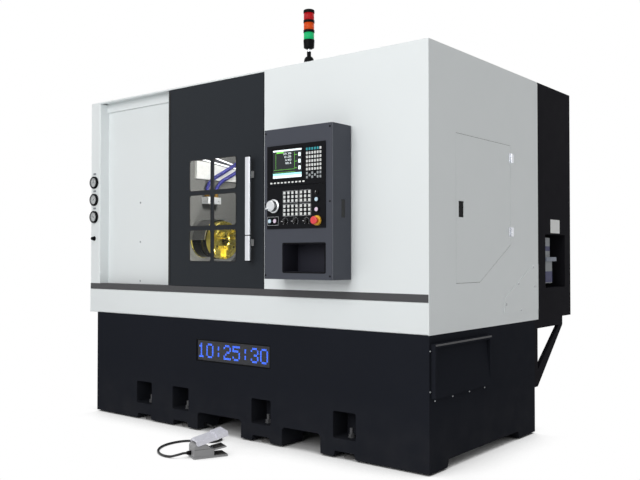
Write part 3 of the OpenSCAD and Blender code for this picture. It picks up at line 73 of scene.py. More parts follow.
def middle(node: str) -> Array:
    """Middle of a CAD node's box, in metres."""
    return (low(node) + high(node)) / 2


def size(node: str) -> Array:
    """Width, depth and height of a CAD node's box, in metres."""
    return high(node) - low(node)


def front_middle(node: str) -> Array:
    """Middle of the front face of a CAD node's box, in metres."""
    x, _, z = middle(node)
    return np.array([x, low(node)[1], z])


def at_depth(y: float) -> Array:
    """The point or the step of a length along the Y axis."""
    return np.array([0.0, y, 0.0])


FRONT_Y = float(low("front_skirt")[1])
RIGHT_X = float(high("roof_panel")[0])
LEFT_X = float(low("roof_panel")[0])
BACK_Y = float(high("rear_panel")[1])


def spot(x: float, y: float, z: float) -> Array:
    """A point given from the machine's middle, its front plane and the floor.

    Args:
        x: metres to the right of the middle.
        y: metres behind the front plane.
        z: metres above the floor.

    Returns:
        The point in the part's frame.
    """
    return np.array([x, FRONT_Y + y, z])


class Side(Enum):
    """The way a fitting faces, as its own right, up and outward directions."""

    FRONT = ((1, 0, 0), (0, 0, 1), (0, -1, 0))
    RIGHT = ((0, 1, 0), (0, 0, 1), (1, 0, 0))
    BACK = ((-1, 0, 0), (0, 0, 1), (0, 1, 0))
    LEFT = ((0, -1, 0), (0, 0, 1), (-1, 0, 0))
    TOP = ((1, 0, 0), (0, 1, 0), (0, 0, 1))

    def axes(self) -> Array:
        """The three directions as the rows of a matrix."""
        return np.array(self.value, dtype=float)


# Surfaces


@dataclass
class Surface:
    """A skin of points and faces, with one array of faces for each count of corners."""

    points: Array
    faces: list[Array]

    def moved(self, offset: Array) -> "Surface":
        """The same skin, moved by an offset."""
        return Surface(self.points + np.asarray(offset), self.faces)

    def facing(self, side: Side, origin: Array) -> "Surface":
        """The skin turned from its own right, up and outward axes to a side of the machine.

        Args:
            side: the way that the skin's third axis points.
            origin: where its own origin goes.

        Returns:
            The skin in the part's frame.
        """
        return self.turned(side.axes(), origin)

    def turned(self, matrix: Array, origin: Array) -> "Surface":
        """The skin with its axes along the rows of a matrix, and its origin at a point."""
        return Surface(self.points @ np.asarray(matrix) + np.asarray(origin), self.faces)

    def copied(self, points: Array) -> "Surface":
        """The skin's faces once for each set of points, as one skin.

        Args:
            points: a set of the skin's points for each copy.

        Returns:
            All the copies as one skin.
        """
        steps = np.arange(len(points))[:, None, None] * len(self.points)
        faces = [(f[None] + steps).reshape(-1, f.shape[1]) for f in self.faces]
        return Surface(points.reshape(-1, 3), faces)

    def at(self, places: Places) -> "Surface":
        """One copy of the skin at each place in its own plane.

        Args:
            places: n rows of two lengths, along the skin's first and second axes.

        Returns:
            All the copies as one skin.
        """
        offsets = np.pad(np.asarray(places, dtype=float), ((0, 0), (0, 1)))
        return self.copied(offsets[:, None] + self.points)

    def spun(self, turns: Array) -> "Surface":
        """One copy of the skin for each angle, turned about the third axis.

        Args:
            turns: the angles in radians.

        Returns:
            All the copies as one skin.
        """
        cos, sin = np.cos(turns), np.sin(turns)
        spin = np.zeros((len(turns), 3, 3))
        spin[:, 0, 0] = spin[:, 1, 1] = cos
        spin[:, 0, 1], spin[:, 1, 0], spin[:, 2, 2] = sin, -sin, 1
        return self.copied(self.points @ spin)


def joined(parts: list[Surface]) -> Surface:
    """Several skins as one.

    Args:
        parts: the skins.

    Returns:
        One skin with all their points and faces.
    """
    starts = np.cumsum([0] + [len(p.points) for p in parts[:-1]])
    faces = [f + start for part, start in zip(parts, starts) for f in part.faces]
    return Surface(np.concatenate([p.points for p in parts]), faces)


def grid_faces(rows: int, cols: int, close_rows: bool = False, close_cols: bool = True) -> Array:
    """Quads between neighbouring points of a grid.

    Args:
        rows: number of points along the first parameter.
        cols: number of points along the second parameter.
        close_rows: whether the last row joins the first.
        close_cols: whether the last column joins the first.

    Returns:
        An array of four point numbers for each quad.
    """
    last_row, last_col = rows - (not close_rows), cols - (not close_cols)
    i, j = np.meshgrid(np.arange(last_row), np.arange(last_col), indexing="ij")
    k, m = (i + 1) % rows, (j + 1) % cols
    return np.stack([i * cols + j, i * cols + m, k * cols + m, k * cols + j], axis=-1).reshape(-1, 4)


def round_turns(count: int) -> Array:
    """Even angles round a full turn."""
    return np.arange(count) * 2 * math.pi / count


def end_caps(count: int, rings: int) -> Array:
    """Faces over the first and the last of some rings of points."""
    return np.stack([np.arange(count)[::-1], np.arange(count) + (rings - 1) * count])


def rounded_outline(width: float, height: float, radius: float, steps: int = 5) -> Array:
    """A rectangle about the origin whose corners are quarter circles.

    Args:
        width: its whole width.
        height: its whole height.
        radius: the quarter circles' radius.
        steps: number of edges in a quarter circle.

    Returns:
        The outline's points, counterclockwise.
    """
    turn = np.linspace(0, math.pi / 2, steps + 1)
    quarter = np.arange(4)[:, None] * math.pi / 2 + turn
    signs = np.array([[1, 1], [-1, 1], [-1, -1], [1, -1]])
    centres = signs * (np.array([width, height]) / 2 - radius)
    arcs = radius * np.stack([np.cos(quarter), np.sin(quarter)], axis=-1)
    return (centres[:, None, :] + arcs).reshape(-1, 2)


def rectangle(width: float, height: float) -> Array:
    """A sharp rectangle about the origin."""
    return np.array([[1, 1], [-1, 1], [-1, -1], [1, -1]]) * np.array([width, height]) / 2


def round_outline(radius: float, sides: int = 32) -> Array:
    """A circle about the origin as an outline."""
    turn = round_turns(sides)
    return radius * np.stack([np.cos(turn), np.sin(turn)], axis=-1)


def inset(outline: Array, depth: float) -> Array:
    """The outline with every edge moved in by the same depth, along its corners' mitres.

    Args:
        outline: points counterclockwise.
        depth: how far the edges move in, or out where negative.

    Returns:
        As many points as the outline has.
    """
    before = outline - np.roll(outline, 1, axis=0)
    after = np.roll(outline, -1, axis=0) - outline
    before /= np.linalg.norm(before, axis=1, keepdims=True)
    after /= np.linalg.norm(after, axis=1, keepdims=True)
    square = np.array([[0, 1], [-1, 0]])
    first, second = before @ square, after @ square
    mitre = (first + second) / (1 + np.sum(first * second, axis=1, keepdims=True))
    return outline + depth * mitre


def flat(outline: Array, lift: float) -> Array:
    """An outline as points at one height."""
    return np.column_stack([outline, np.full(len(outline), lift)])


def plate(outline: Array, depth: float, bevel: float = 0.0) -> Surface:
    """A closed plate: the outline drawn out to a depth, its outer edge cut back by a bevel.

    Args:
        outline: the plate's edge.
        depth: its thickness.
        bevel: how far the outer edge is cut back.

    Returns:
        The plate, with its back in the outline's plane.
    """
    rings = [flat(outline, 0.0), flat(outline, depth - bevel)]
    if bevel > 0:
        rings.append(flat(inset(outline, bevel), depth))
    count = len(outline)
    return Surface(np.concatenate(rings), [grid_faces(len(rings), count), end_caps(count, len(rings))])


def slab(box: Triple, corner: float = 0.0, bevel: float = 0.0) -> Surface:
    """A flat plate about the origin.

    Args:
        box: its width, height and thickness.
        corner: its corners' radius, or 0 for sharp ones.
        bevel: how far its outer edge is cut back.

    Returns:
        The plate, with its back in the first two axes' plane.
    """
    wide, tall, thick = box
    outline = rounded_outline(wide, tall, corner) if corner else rectangle(wide, tall)
    return plate(outline, thick, bevel)


def band(outer: Array, inner: Array, depth: float) -> Surface:
    """A closed frame between two outlines of as many corners, drawn out to a depth."""
    rings = [flat(outer, 0.0), flat(outer, depth), flat(inner, depth), flat(inner, 0.0)]
    return Surface(np.concatenate(rings), [grid_faces(4, len(outer), close_rows=True)])


def revolved(profile: Places, sides: int = 32, closed: bool = False) -> Surface:
    """A profile of radius and height, turned about the third axis.

    Args:
        profile: points of radius and height along the outline.
        sides: number of points round the axis.
        closed: whether the profile's last point joins its first.

    Returns:
        The turned skin.
    """
    radius, lift = np.array(profile, dtype=float).T
    turn = round_turns(sides)
    ring = np.stack([np.cos(turn), np.sin(turn)], axis=-1)
    heights = np.broadcast_to(lift[:, None, None], (len(lift), sides, 1))
    points = np.concatenate([radius[:, None, None] * ring[None], heights], axis=-1)
    return Surface(points.reshape(-1, 3), [grid_faces(len(radius), sides, close_rows=closed)])


def arched(profile: Places, start: float, end: float, steps: int = 48) -> Surface:
    """A closed profile of radius and length, swept through an arc about the X axis, with its ends closed.

    Args:
        profile: points of radius and length along X.
        start: the arc's first angle, from the Y axis towards Z.
        end: the arc's last angle.
        steps: number of profiles along the arc.

    Returns:
        The swept skin about the origin.
    """
    radius, length = np.array(profile, dtype=float).T
    turn = np.linspace(start, end, steps)[:, None]
    points = np.stack([np.broadcast_to(length, (steps, len(length))), radius * np.cos(turn),
                       radius * np.sin(turn)], axis=-1)
    count = len(profile)
    return Surface(points.reshape(-1, 3), [grid_faces(steps, count), end_caps(count, steps)])


def tube(path: Array, radius: Array | float, sides: int = 16) -> Surface:
    """A round tube: a ring of points square to the path at each of its points, with its ends closed.

    Args:
        path: points of the centreline.
        radius: one radius, or one for each point.
        sides: number of points in a ring.

    Returns:
        The tube's skin.
    """
    heading = np.gradient(path, axis=0)
    heading /= np.linalg.norm(heading, axis=1, keepdims=True)
    steep = np.abs(heading[:, 2:]) > 0.9
    across = np.cross(heading, np.where(steep, [[1.0, 0.0, 0.0]], [[0.0, 0.0, 1.0]]))
    across /= np.linalg.norm(across, axis=1, keepdims=True)
    lift = np.cross(across, heading)
    turn = round_turns(sides)
    ring = np.cos(turn)[None, :, None] * across[:, None] + np.sin(turn)[None, :, None] * lift[:, None]
    points = path[:, None] + np.broadcast_to(radius, len(path))[:, None, None] * ring
    ends = np.stack([np.arange(sides), np.arange(sides)[::-1] + (len(path) - 1) * sides])
    return Surface(points.reshape(-1, 3), [grid_faces(len(path), sides), ends])


def smooth_path(points: Array, steps: int) -> Array:
    """A smooth curve through points, with the same formula as the part's own tubes.

    Args:
        points: the points to pass through.
        steps: number of pieces between two points.

    Returns:
        Points along the curve.
    """
    p = np.concatenate([points[:1], points, points[-1:]])
    t = (np.arange(steps) / steps)[None, :, None]
    a, b, c, d = (p[k:len(p) - 3 + k, None] for k in range(4))
    curve = 0.5 * (2 * b + (c - a) * t + (2 * a - 5 * b + 4 * c - d) * t**2 + (3 * b - a - 3 * c + d) * t**3)
    return np.concatenate([curve.reshape(-1, 3), points[-1:]])


def along(path: Array, spacing: float) -> tuple[Array, Array]:
    """Points at an even spacing along a path.

    Args:
        path: points of a curve.
        spacing: distance between the new points.

    Returns:
        The new points, and their distances from the start.
    """
    lengths = np.concatenate([[0], np.cumsum(np.linalg.norm(np.diff(path, axis=0), axis=1))])
    where = np.linspace(0, lengths[-1], max(2, int(lengths[-1] / spacing) + 1))
    return np.stack([np.interp(where, lengths, path[:, k]) for k in range(3)], axis=-1), where


# Finishes


def linear(colour: Colour) -> Colour:
    """A display colour as the light that it stands for.

    Args:
        colour: red, green and blue from 0 to 1.

    Returns:
        The amounts of light.
    """
    value = np.array(colour)
    light = np.where(value <= 0.04045, value / 12.92, ((value + 0.055) / 1.055) ** 2.4)
    return tuple(float(x) for x in light)


def shade(colour: Colour, factor: float) -> tuple[float, float, float, float]:
    """A display colour as light, made darker or lighter, with full alpha."""
    return (*(min(1.0, x * factor) for x in linear(colour)), 1.0)


class NodeSheet:
    """A material's nodes, with short calls for what the finishes share."""

    def __init__(self, name: str) -> None:
        """Start a material with its shader and the piece's own coordinates.

        Args:
            name: the material's name.
        """
        self.material = bpy.data.materials.new(name)
        self.material.use_nodes = True
        self.nodes = self.material.node_tree.nodes
        self.links = self.material.node_tree.links
        self.shader = self.nodes["Principled BSDF"]
        self.place = self.nodes.new("ShaderNodeTexCoord").outputs["Object"]

    def set(self, **values: float) -> None:
        """Set the shader's sockets, named with underscores for spaces."""
        for key, value in values.items():
            self.shader.inputs[key.replace("_", " ")].default_value = value

    def join(self, output: Socket, socket: str) -> None:
        """Lead an output to one of the shader's sockets."""
        self.links.new(output, self.shader.inputs[socket])

    def stretched(self, stretch: Triple) -> Socket:
        """The piece's coordinates, scaled along each axis.

        Args:
            stretch: the scale along each axis.

        Returns:
            The scaled coordinates.
        """
        mapping = self.nodes.new("ShaderNodeMapping")
        mapping.inputs["Scale"].default_value = stretch
        self.links.new(self.place, mapping.inputs["Vector"])
        return mapping.outputs["Vector"]

    def noise(self, scale: float, detail: float = 2.0, stretch: Triple | None = None) -> Socket:
        """Noise at a scale per metre.

        Args:
            scale: grains per metre.
            detail: octaves of finer grain.
            stretch: scale along each axis, or None for even grain.

        Returns:
            The noise's value.
        """
        grain = self.nodes.new("ShaderNodeTexNoise")
        grain.inputs["Scale"].default_value = scale
        grain.inputs["Detail"].default_value = detail
        self.links.new(self.stretched(stretch) if stretch else self.place, grain.inputs["Vector"])
        return grain.outputs["Fac"]

    def span(self, value: Socket, start: float, end: float, out_start: float, out_end: float) -> Socket:
        """A value carried from one range to another, and held at its ends.

        Args:
            value: the value to carry.
            start: the first range's start.
            end: the first range's end.
            out_start: what the start becomes.
            out_end: what the end becomes.

        Returns:
            The carried value.
        """
        node = self.nodes.new("ShaderNodeMapRange")
        ends = {"From Min": start, "From Max": end, "To Min": out_start, "To Max": out_end}
        for key, number in ends.items():
            node.inputs[key].default_value = number
        self.links.new(value, node.inputs["Value"])
        return node.outputs["Result"]

    def height(self) -> Socket:
        """Height above the floor.

        Returns:
            The height in metres.
        """
        split = self.nodes.new("ShaderNodeSeparateXYZ")
        self.links.new(self.place, split.inputs["Vector"])
        return split.outputs["Z"]

    def math(self, operation: str, first: Socket, second: Socket | float) -> Socket:
        """One operation on two values.

        Args:
            operation: the math node's name for it.
            first: the first value.
            second: the second value, or a plain number.

        Returns:
            The result.
        """
        node = self.nodes.new("ShaderNodeMath")
        node.operation = operation
        self.links.new(first, node.inputs[0])
        if isinstance(second, Socket):
            self.links.new(second, node.inputs[1])
        else:
            node.inputs[1].default_value = second
        return node.outputs["Value"]

    def blend(self, factor: Socket, first: tuple | Socket, second: tuple | Socket) -> Socket:
        """A colour between two colours.

        Args:
            factor: how much of the second colour shows.
            first: a colour, or the output that gives it.
            second: a colour, or the output that gives it.

        Returns:
            The mixed colour.
        """
        node = self.nodes.new("ShaderNodeMix")
        node.data_type = "RGBA"
        self.links.new(factor, node.inputs[0])
        for socket, colour in ((node.inputs[6], first), (node.inputs[7], second)):
            if isinstance(colour, Socket):
                self.links.new(colour, socket)
            else:
                socket.default_value = colour
        return node.outputs[2]

    def mottle(self, factor: Socket, colour: Colour, first: float, second: float) -> Socket:
        """A display colour between two of its tones.

        Args:
            factor: how much of the second tone shows.
            colour: the display colour.
            first: the first tone, as a factor on the colour's light.
            second: the second tone.

        Returns:
            The mixed colour.
        """
        return self.blend(factor, shade(colour, first), shade(colour, second))

    def gloss(self, factor: Socket, smooth: float, rough: float) -> None:
        """Let a noise carry the roughness from one value to another."""
        self.join(self.span(factor, 0.3, 0.7, smooth, rough), "Roughness")

    def bump(self, height: Socket, distance: float, strength: float = 1.0) -> None:
        """Raise and sink the surface by a height.

        Args:
            height: the height, from 0 to 1.
            distance: metres between 0 and 1.
            strength: share of the effect.
        """
        node = self.nodes.new("ShaderNodeBump")
        node.inputs["Distance"].default_value = distance
        node.inputs["Strength"].default_value = strength
        self.links.new(height, node.inputs["Height"])
        self.join(node.outputs["Normal"], "Normal")


@dataclass(frozen=True)
class Finish:
    """A surface's finish: its colour, gloss and the detail of its own kind."""

    name: str
    colour: Colour
    roughness: float = 0.5

    def dress(self, sheet: NodeSheet) -> None:
        """Build the finish's nodes.

        Args:
            sheet: the material's nodes.
        """
        raise NotImplementedError

    def material(self) -> bpy.types.Material:
        """The finish's material, made once.

        Returns:
            The new material, or the one that has its name.
        """
        known = bpy.data.materials.get(self.name)
        if known is not None:
            return known
        sheet = NodeSheet(self.name)
        sheet.material.diffuse_color = shade(self.colour, 1.0)
        sheet.set(Roughness=self.roughness)
        self.dress(sheet)
        return sheet.material


@dataclass(frozen=True)
class Paint(Finish):
    """Sprayed paint on sheet or casting: orange peel, uneven gloss and tone, and dust low down."""

    peel: float = 0.00012
    peel_scale: float = 420.0
    unevenness: float = 0.03
    dust: float = 0.0
    dust_height: float = 0.35
    dust_colour: Colour = (0.62, 0.60, 0.57)
    specular: float = 0.5

    def dress(self, sheet: NodeSheet) -> None:
        """Mottle the tone, vary the gloss, and raise the peel.

        Args:
            sheet: the material's nodes.
        """
        tone = sheet.noise(2.2, 3.0)
        colour = sheet.mottle(tone, self.colour, 1 - self.unevenness, 1 + self.unevenness)
        if self.dust > 0:
            low_down = sheet.span(sheet.height(), 0.0, self.dust_height, self.dust, 0.0)
            patches = sheet.span(sheet.noise(9.0, 5.0), 0.35, 0.75, 0.2, 1.0)
            cover = sheet.math("MULTIPLY", low_down, patches)
            colour = sheet.blend(cover, colour, shade(self.dust_colour, 1.0))
        sheet.join(colour, "Base Color")
        sheet.gloss(sheet.noise(14.0, 4.0), self.roughness - 0.05, self.roughness + 0.07)
        sheet.set(Specular_IOR_Level=self.specular)
        sheet.bump(sheet.noise(self.peel_scale, 2.0), self.peel, 0.5)


@dataclass(frozen=True)
class Metal(Finish):
    """Bare metal with grain drawn out along an axis, and faint blotches."""

    stretch: Triple = (900.0, 900.0, 8.0)
    grain: float = 0.00004
    unevenness: float = 0.10

    def dress(self, sheet: NodeSheet) -> None:
        """Draw the grain out, and let it vary the tone and gloss.

        Args:
            sheet: the material's nodes.
        """
        line = sheet.noise(1.0, 3.0, self.stretch)
        colour = sheet.mottle(line, self.colour, 1 - self.unevenness, 1 + self.unevenness / 2)
        sheet.join(colour, "Base Color")
        sheet.set(Metallic=1.0)
        sheet.gloss(sheet.noise(18.0, 4.0), self.roughness - 0.06, self.roughness + 0.08)
        sheet.bump(line, self.grain, 0.4)


@dataclass(frozen=True)
class Turned(Finish):
    """Metal faced on a lathe: fine rings about an axis along X, dulled by coolant."""

    centre: Pair = (0.0, 0.0)
    pitch: float = 0.0016
    depth: float = 0.00005
    metallic: float = 1.0

    def dress(self, sheet: NodeSheet) -> None:
        """Take the distance from the axis, and make rings of it.

        Args:
            sheet: the material's nodes.
        """
        shift = sheet.nodes.new("ShaderNodeMapping")
        shift.inputs["Location"].default_value = (0.0, -self.centre[0], -self.centre[1])
        shift.inputs["Scale"].default_value = (0.0, 1.0, 1.0)
        sheet.links.new(sheet.place, shift.inputs["Vector"])
        length = sheet.nodes.new("ShaderNodeVectorMath")
        length.operation = "LENGTH"
        sheet.links.new(shift.outputs["Vector"], length.inputs[0])
        turns = sheet.math("MULTIPLY", length.outputs["Value"], 2 * math.pi / self.pitch)
        rings = sheet.math("SINE", turns, 0.0)
        film = sheet.span(sheet.noise(12.0, 4.0), 0.35, 0.7, 0.0, 1.0)
        sheet.join(sheet.mottle(film, self.colour, 1.08, 0.72), "Base Color")
        sheet.join(sheet.span(film, 0.0, 1.0, self.roughness - 0.06, self.roughness + 0.12), "Roughness")
        sheet.set(Metallic=self.metallic)
        sheet.bump(rings, self.depth, 0.35)


@dataclass(frozen=True)
class Moulded(Finish):
    """Moulded plastic, rubber or film: a fine even texture and slight changes of tone and gloss."""

    grain: float = 0.00006
    grain_scale: float = 1400.0
    unevenness: float = 0.06
    coat: float = 0.0
    specular: float = 0.4

    def dress(self, sheet: NodeSheet) -> None:
        """Vary the tone and gloss, and raise the moulded texture.

        Args:
            sheet: the material's nodes.
        """
        tone = sheet.noise(26.0, 3.0)
        colour = sheet.mottle(tone, self.colour, 1 - self.unevenness, 1 + self.unevenness)
        sheet.join(colour, "Base Color")
        sheet.gloss(tone, self.roughness - 0.05, self.roughness + 0.06)
        sheet.set(Coat_Weight=self.coat, Coat_Roughness=0.12, Specular_IOR_Level=self.specular)
        sheet.bump(sheet.noise(self.grain_scale, 1.0), self.grain, 0.4)


@dataclass(frozen=True)
class Lit(Finish):
    """Plastic with light behind it, brighter in soft patches."""

    glow: float = 1.0
    coat: float = 0.3
    specular: float = 0.15

    def dress(self, sheet: NodeSheet) -> None:
        """Glow in the finish's own colour through a softly uneven diffuser.

        Args:
            sheet: the material's nodes.
        """
        cloud = sheet.noise(30.0, 2.0)
        colour = sheet.mottle(cloud, self.colour, 0.86, 1.12)
        sheet.join(colour, "Base Color")
        sheet.join(colour, "Emission Color")
        sheet.set(Emission_Strength=self.glow, Specular_IOR_Level=self.specular)
        sheet.set(Coat_Weight=self.coat, Coat_Roughness=0.08)
        sheet.gloss(cloud, self.roughness - 0.04, self.roughness + 0.05)


@dataclass(frozen=True)
class Clear(Finish):
    """Clear sheet that can be seen through, with a thin film of dried coolant."""

    cover: float = 0.15

    def dress(self, sheet: NodeSheet) -> None:
        """Let most light through, and vary the film's gloss.

        Args:
            sheet: the material's nodes.
        """
        film = sheet.noise(7.0, 5.0)
        sheet.join(sheet.mottle(film, self.colour, 0.85, 1.1), "Base Color")
        sheet.gloss(film, self.roughness, self.roughness + 0.12)
        sheet.set(Alpha=self.cover, Specular_IOR_Level=0.25)


SPINDLE_AXIS = (float(middle("chuck_body")[1]), float(middle("chuck_body")[2]))


def on_axis(x: float) -> Array:
    """The point of the spindle's axis at a place along X."""
    return np.array([x, *SPINDLE_AXIS])


class Coat:
    """The finishes of the machine, by the piece that wears them."""

    white = Paint("cover_white_paint", (0.912, 0.931, 0.934), 0.42, unevenness=0.015)
    liner = Paint("liner_grey_paint", (0.50, 0.50, 0.485), 0.42, unevenness=0.06, specular=0.25)
    casting = Paint("base_black_paint", (0.134, 0.142, 0.166), 0.46, peel=0.0005, peel_scale=160.0,
                    unevenness=0.07, dust=0.03, specular=0.003)
    door = Paint("door_charcoal_paint", (0.160, 0.174, 0.192), 0.40, unevenness=0.04, specular=0.08)
    box = Paint("control_grey_paint", (0.262, 0.274, 0.308), 0.44, unevenness=0.04, specular=0.20)
    # painted shade: darker than the box's grey, for the shade inside the pocket
    pocket = Paint("pocket_painted_shade", (0.170, 0.172, 0.205), 0.5, unevenness=0.05, specular=0.08)
    # painted highlight: a lighter grey than the box, for the light caught along its rounded front-right edge
    edge = Paint("box_edge_painted_highlight", (0.40, 0.41, 0.44), 0.40, unevenness=0.04, specular=0.25)
    rail = Paint("rail_grey_paint", (0.315, 0.315, 0.323), 0.40, unevenness=0.05, specular=0.15)
    cabinet = Paint("cabinet_black_paint", (0.128, 0.126, 0.142), 0.40, unevenness=0.06, specular=0.003)
    feet = Paint("foot_grey_paint", (0.30, 0.30, 0.31), 0.5, unevenness=0.10, dust=0.4, dust_height=0.05)
    ways = Metal("ground_steel", (0.50, 0.51, 0.53), 0.54, stretch=(8.0, 700.0, 700.0), grain=0.00001)
    turret = Turned("turned_steel", (0.64, 0.65, 0.67), 0.32, centre=SPINDLE_AXIS)
    collar = Turned("black_oxide_steel", (0.09, 0.09, 0.10), 0.38, centre=SPINDLE_AXIS, metallic=0.8)
    gold = Turned("gold_turned_metal", (0.87, 0.80, 0.40), 0.26, centre=SPINDLE_AXIS, metallic=0.9)
    brass = Metal("brass_fitting", (0.80, 0.62, 0.30), 0.28, stretch=(300.0, 300.0, 300.0))
    handle = Metal("brushed_aluminium", (0.86, 0.87, 0.89), 0.34, stretch=(1200.0, 1200.0, 6.0))
    wheel = Metal("spun_aluminium", (0.84, 0.85, 0.86), 0.30, stretch=(900.0, 8.0, 900.0))
    chrome = Metal("hinge_chrome", (0.82, 0.83, 0.85), 0.20, stretch=(60.0, 60.0, 60.0), unevenness=0.04)
    zinc = Metal("zinc_screw", (0.70, 0.71, 0.72), 0.34, stretch=(220.0, 220.0, 220.0))
    black = Moulded("black_moulding", (0.062, 0.063, 0.070), 0.42, specular=0.04)
    gloss_black = Moulded("gloss_black_moulding", (0.06, 0.06, 0.065), 0.22, grain=0.00002)
    film_black = Moulded("panel_film_black", (0.055, 0.057, 0.072), 0.36, grain=0.00004, unevenness=0.05,
                         specular=0.08)
    key_white = Moulded("key_film_white", (0.93, 0.94, 0.93), 0.45, unevenness=0.03)
    key_grey = Moulded("key_film_grey", (0.62, 0.64, 0.65), 0.45)
    key_teal = Moulded("key_film_teal", (0.20, 0.62, 0.66), 0.42)
    mark_white = Moulded("printed_white", (0.84, 0.85, 0.86), 0.5, unevenness=0.03)
    mark_dark = Moulded("printed_dark", (0.13, 0.14, 0.15), 0.5)
    dial = Moulded("dial_face", (0.76, 0.77, 0.77), 0.45, unevenness=0.03)
    white_plastic = Moulded("white_moulding", (0.90, 0.905, 0.90), 0.38, unevenness=0.02)
    grey_plastic = Moulded("grey_moulding", (0.52, 0.54, 0.56), 0.42)
    # painted shade: a pale plastic rim darkened to grey for the shade of the cabinet's recess
    tray = Moulded("tray_moulding_painted_shade", (0.47, 0.50, 0.56), 0.42)
    # the plastic's own blue, darkened further as painted shade of the cabinet's recess
    blue_plastic = Moulded("blue_moulding_painted_shade", (0.09, 0.11, 0.34), 0.34, specular=0.2)
    hose = Moulded("hose_blue", (0.098, 0.092, 0.37), 0.34, grain=0.00003, specular=0.15)
    stop_red = Moulded("stop_red", (0.86, 0.16, 0.18), 0.30, coat=0.3)
    stop_yellow = Moulded("stop_yellow", (0.95, 0.74, 0.24), 0.38)
    pale_blue = Lit("button_pale_blue", (0.74, 0.83, 0.88), 0.32, glow=0.15)
    pale_pink = Lit("button_pale_pink", (0.84, 0.77, 0.84), 0.32, glow=0.15)
    red = Lit("lens_red", (0.68, 0.03, 0.07), 0.26, glow=0.10, coat=0.03)
    amber = Lit("lens_amber", (0.80, 0.28, 0.03), 0.26, glow=0.10, coat=0.03)
    green = Lit("lens_green", (0.05, 0.70, 0.42), 0.26, glow=0.10, coat=0.03)
    guard = Paint("guard_grey_paint", (0.34, 0.34, 0.335), 0.40, unevenness=0.06, specular=0.25)
    dot_lit = Lit("sign_dot_blue", (0.22, 0.42, 0.98), 0.4, glow=2.2)
    dot_dark = Moulded("sign_dot_dark", (0.10, 0.11, 0.16), 0.45)
    sign = Moulded("sign_black", (0.045, 0.05, 0.075), 0.30, coat=0.3)
    diffuser = Lit("light_diffuser", (0.90, 0.90, 0.88), 0.5, glow=0.16, coat=0.0)
    lamp_tube = Lit("light_tube", (0.98, 0.99, 1.0), 0.4, glow=1.5)
    picture_dark = Lit("screen_dark", (0.10, 0.12, 0.13), 0.14, glow=0.4)
    picture_white = Lit("screen_white", (0.90, 0.94, 0.95), 0.2, glow=0.7)
    picture_cyan = Lit("screen_cyan", (0.62, 0.88, 0.90), 0.2, glow=0.7)
    picture_green = Lit("screen_green", (0.45, 0.80, 0.30), 0.2, glow=0.7)
    pane = Clear("safety_pane", (0.30, 0.32, 0.32), 0.04, cover=0.05)
    dial_glass = Clear("dial_glass", (0.85, 0.87, 0.88), 0.04, cover=0.12)
    rubber = Moulded("black_rubber", (0.085, 0.085, 0.088), 0.62, grain=0.00012, grain_scale=700.0)
    pad = Moulded("tread_rubber", (0.30, 0.295, 0.29), 0.68, grain=0.0002, grain_scale=500.0,
                  unevenness=0.15)
    sheath = Moulded("lead_sheath", (0.11, 0.112, 0.12), 0.45, grain=0.00008, unevenness=0.12)
    pedal_body = Paint("pedal_grey_casting", (0.58, 0.58, 0.585), 0.5, peel=0.0003, peel_scale=260.0,
                       unevenness=0.10)
    pedal_white = Paint("pedal_white_paint", (0.89, 0.89, 0.925), 0.36, unevenness=0.03)


NODE_FINISH: dict[str, Finish] = {
    "base_casting": Coat.casting, "chip_hood": Coat.casting, "levelling_feet": Coat.feet,
    "sign_panel": Coat.sign, "front_skirt": Coat.white, "door_rail": Coat.rail,
    "front_right_panel": Coat.white, "front_left_panel": Coat.white, "left_end_cover": Coat.white,
    "right_side_panel": Coat.white, "roof_panel": Coat.white, "rear_panel": Coat.white,
    "side_door": Coat.white, "electrical_cabinet": Coat.cabinet, "cabinet_brackets": Coat.cabinet,
    "lubricator": Coat.grey_plastic, "chamber_liner": Coat.liner, "work_light": Coat.diffuser,
    "coolant_block": Coat.white_plastic,
    "coolant_hoses": Coat.hose, "slant_bed": Coat.ways, "headstock": Coat.casting, "saddle": Coat.ways,
    "cross_slide": Coat.ways, "turret_disc": Coat.turret, "spindle": Coat.collar, "chuck_body": Coat.gold,
    "jaw_1": Coat.gold, "jaw_2": Coat.gold, "jaw_3": Coat.gold,
    "lamp_body": Coat.black, "lamp_red": Coat.red, "lamp_amber": Coat.amber, "lamp_green": Coat.green,
    "control_box": Coat.box, "display_unit": Coat.film_black, "operator_panel": Coat.film_black,
    "panel_keys": Coat.key_white, "pressure_gauges": Coat.black,
    "pedal_base": Coat.pedal_body, "pedal_hood": Coat.pedal_white, "pedal_treadle": Coat.pedal_body,
    "cord_glands": Coat.black, "pedal_cord": Coat.sheath,
    "door_panel": Coat.door, "door_glass": Coat.pane, "door_handle": Coat.handle,
    "side_latch": Coat.black, "hinge_leaves": Coat.chrome, "door_hinge_leaves": Coat.chrome,
    "stop_button": Coat.stop_red, "start_button": Coat.pale_blue, "power_on_button": Coat.pale_blue,
    "hold_button": Coat.pale_pink, "power_off_button": Coat.pale_pink,
    "feed_knob": Coat.gloss_black, "speed_knob": Coat.gloss_black, "mode_knob": Coat.gloss_black,
    "key_switch": Coat.gloss_black, "hand_wheel": Coat.wheel,
}


def paint_nodes() -> None:
    """Give every CAD node its finish."""
    for name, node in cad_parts.items():
        material = NODE_FINISH[name].material()
        if not node.material_slots:
            node.data.materials.append(material)
        for holder in node.material_slots:
            holder.material = material


def placed(name: str, data: bpy.types.ID) -> bpy.types.Object:
    """A mesh, a lamp or a camera as an object in the scene.

    Args:
        name: the object's name.
        data: what it shows.

    Returns:
        The new object.
    """
    made = bpy.data.objects.new(name, data)
    bpy.context.scene.collection.objects.link(made)
    return made


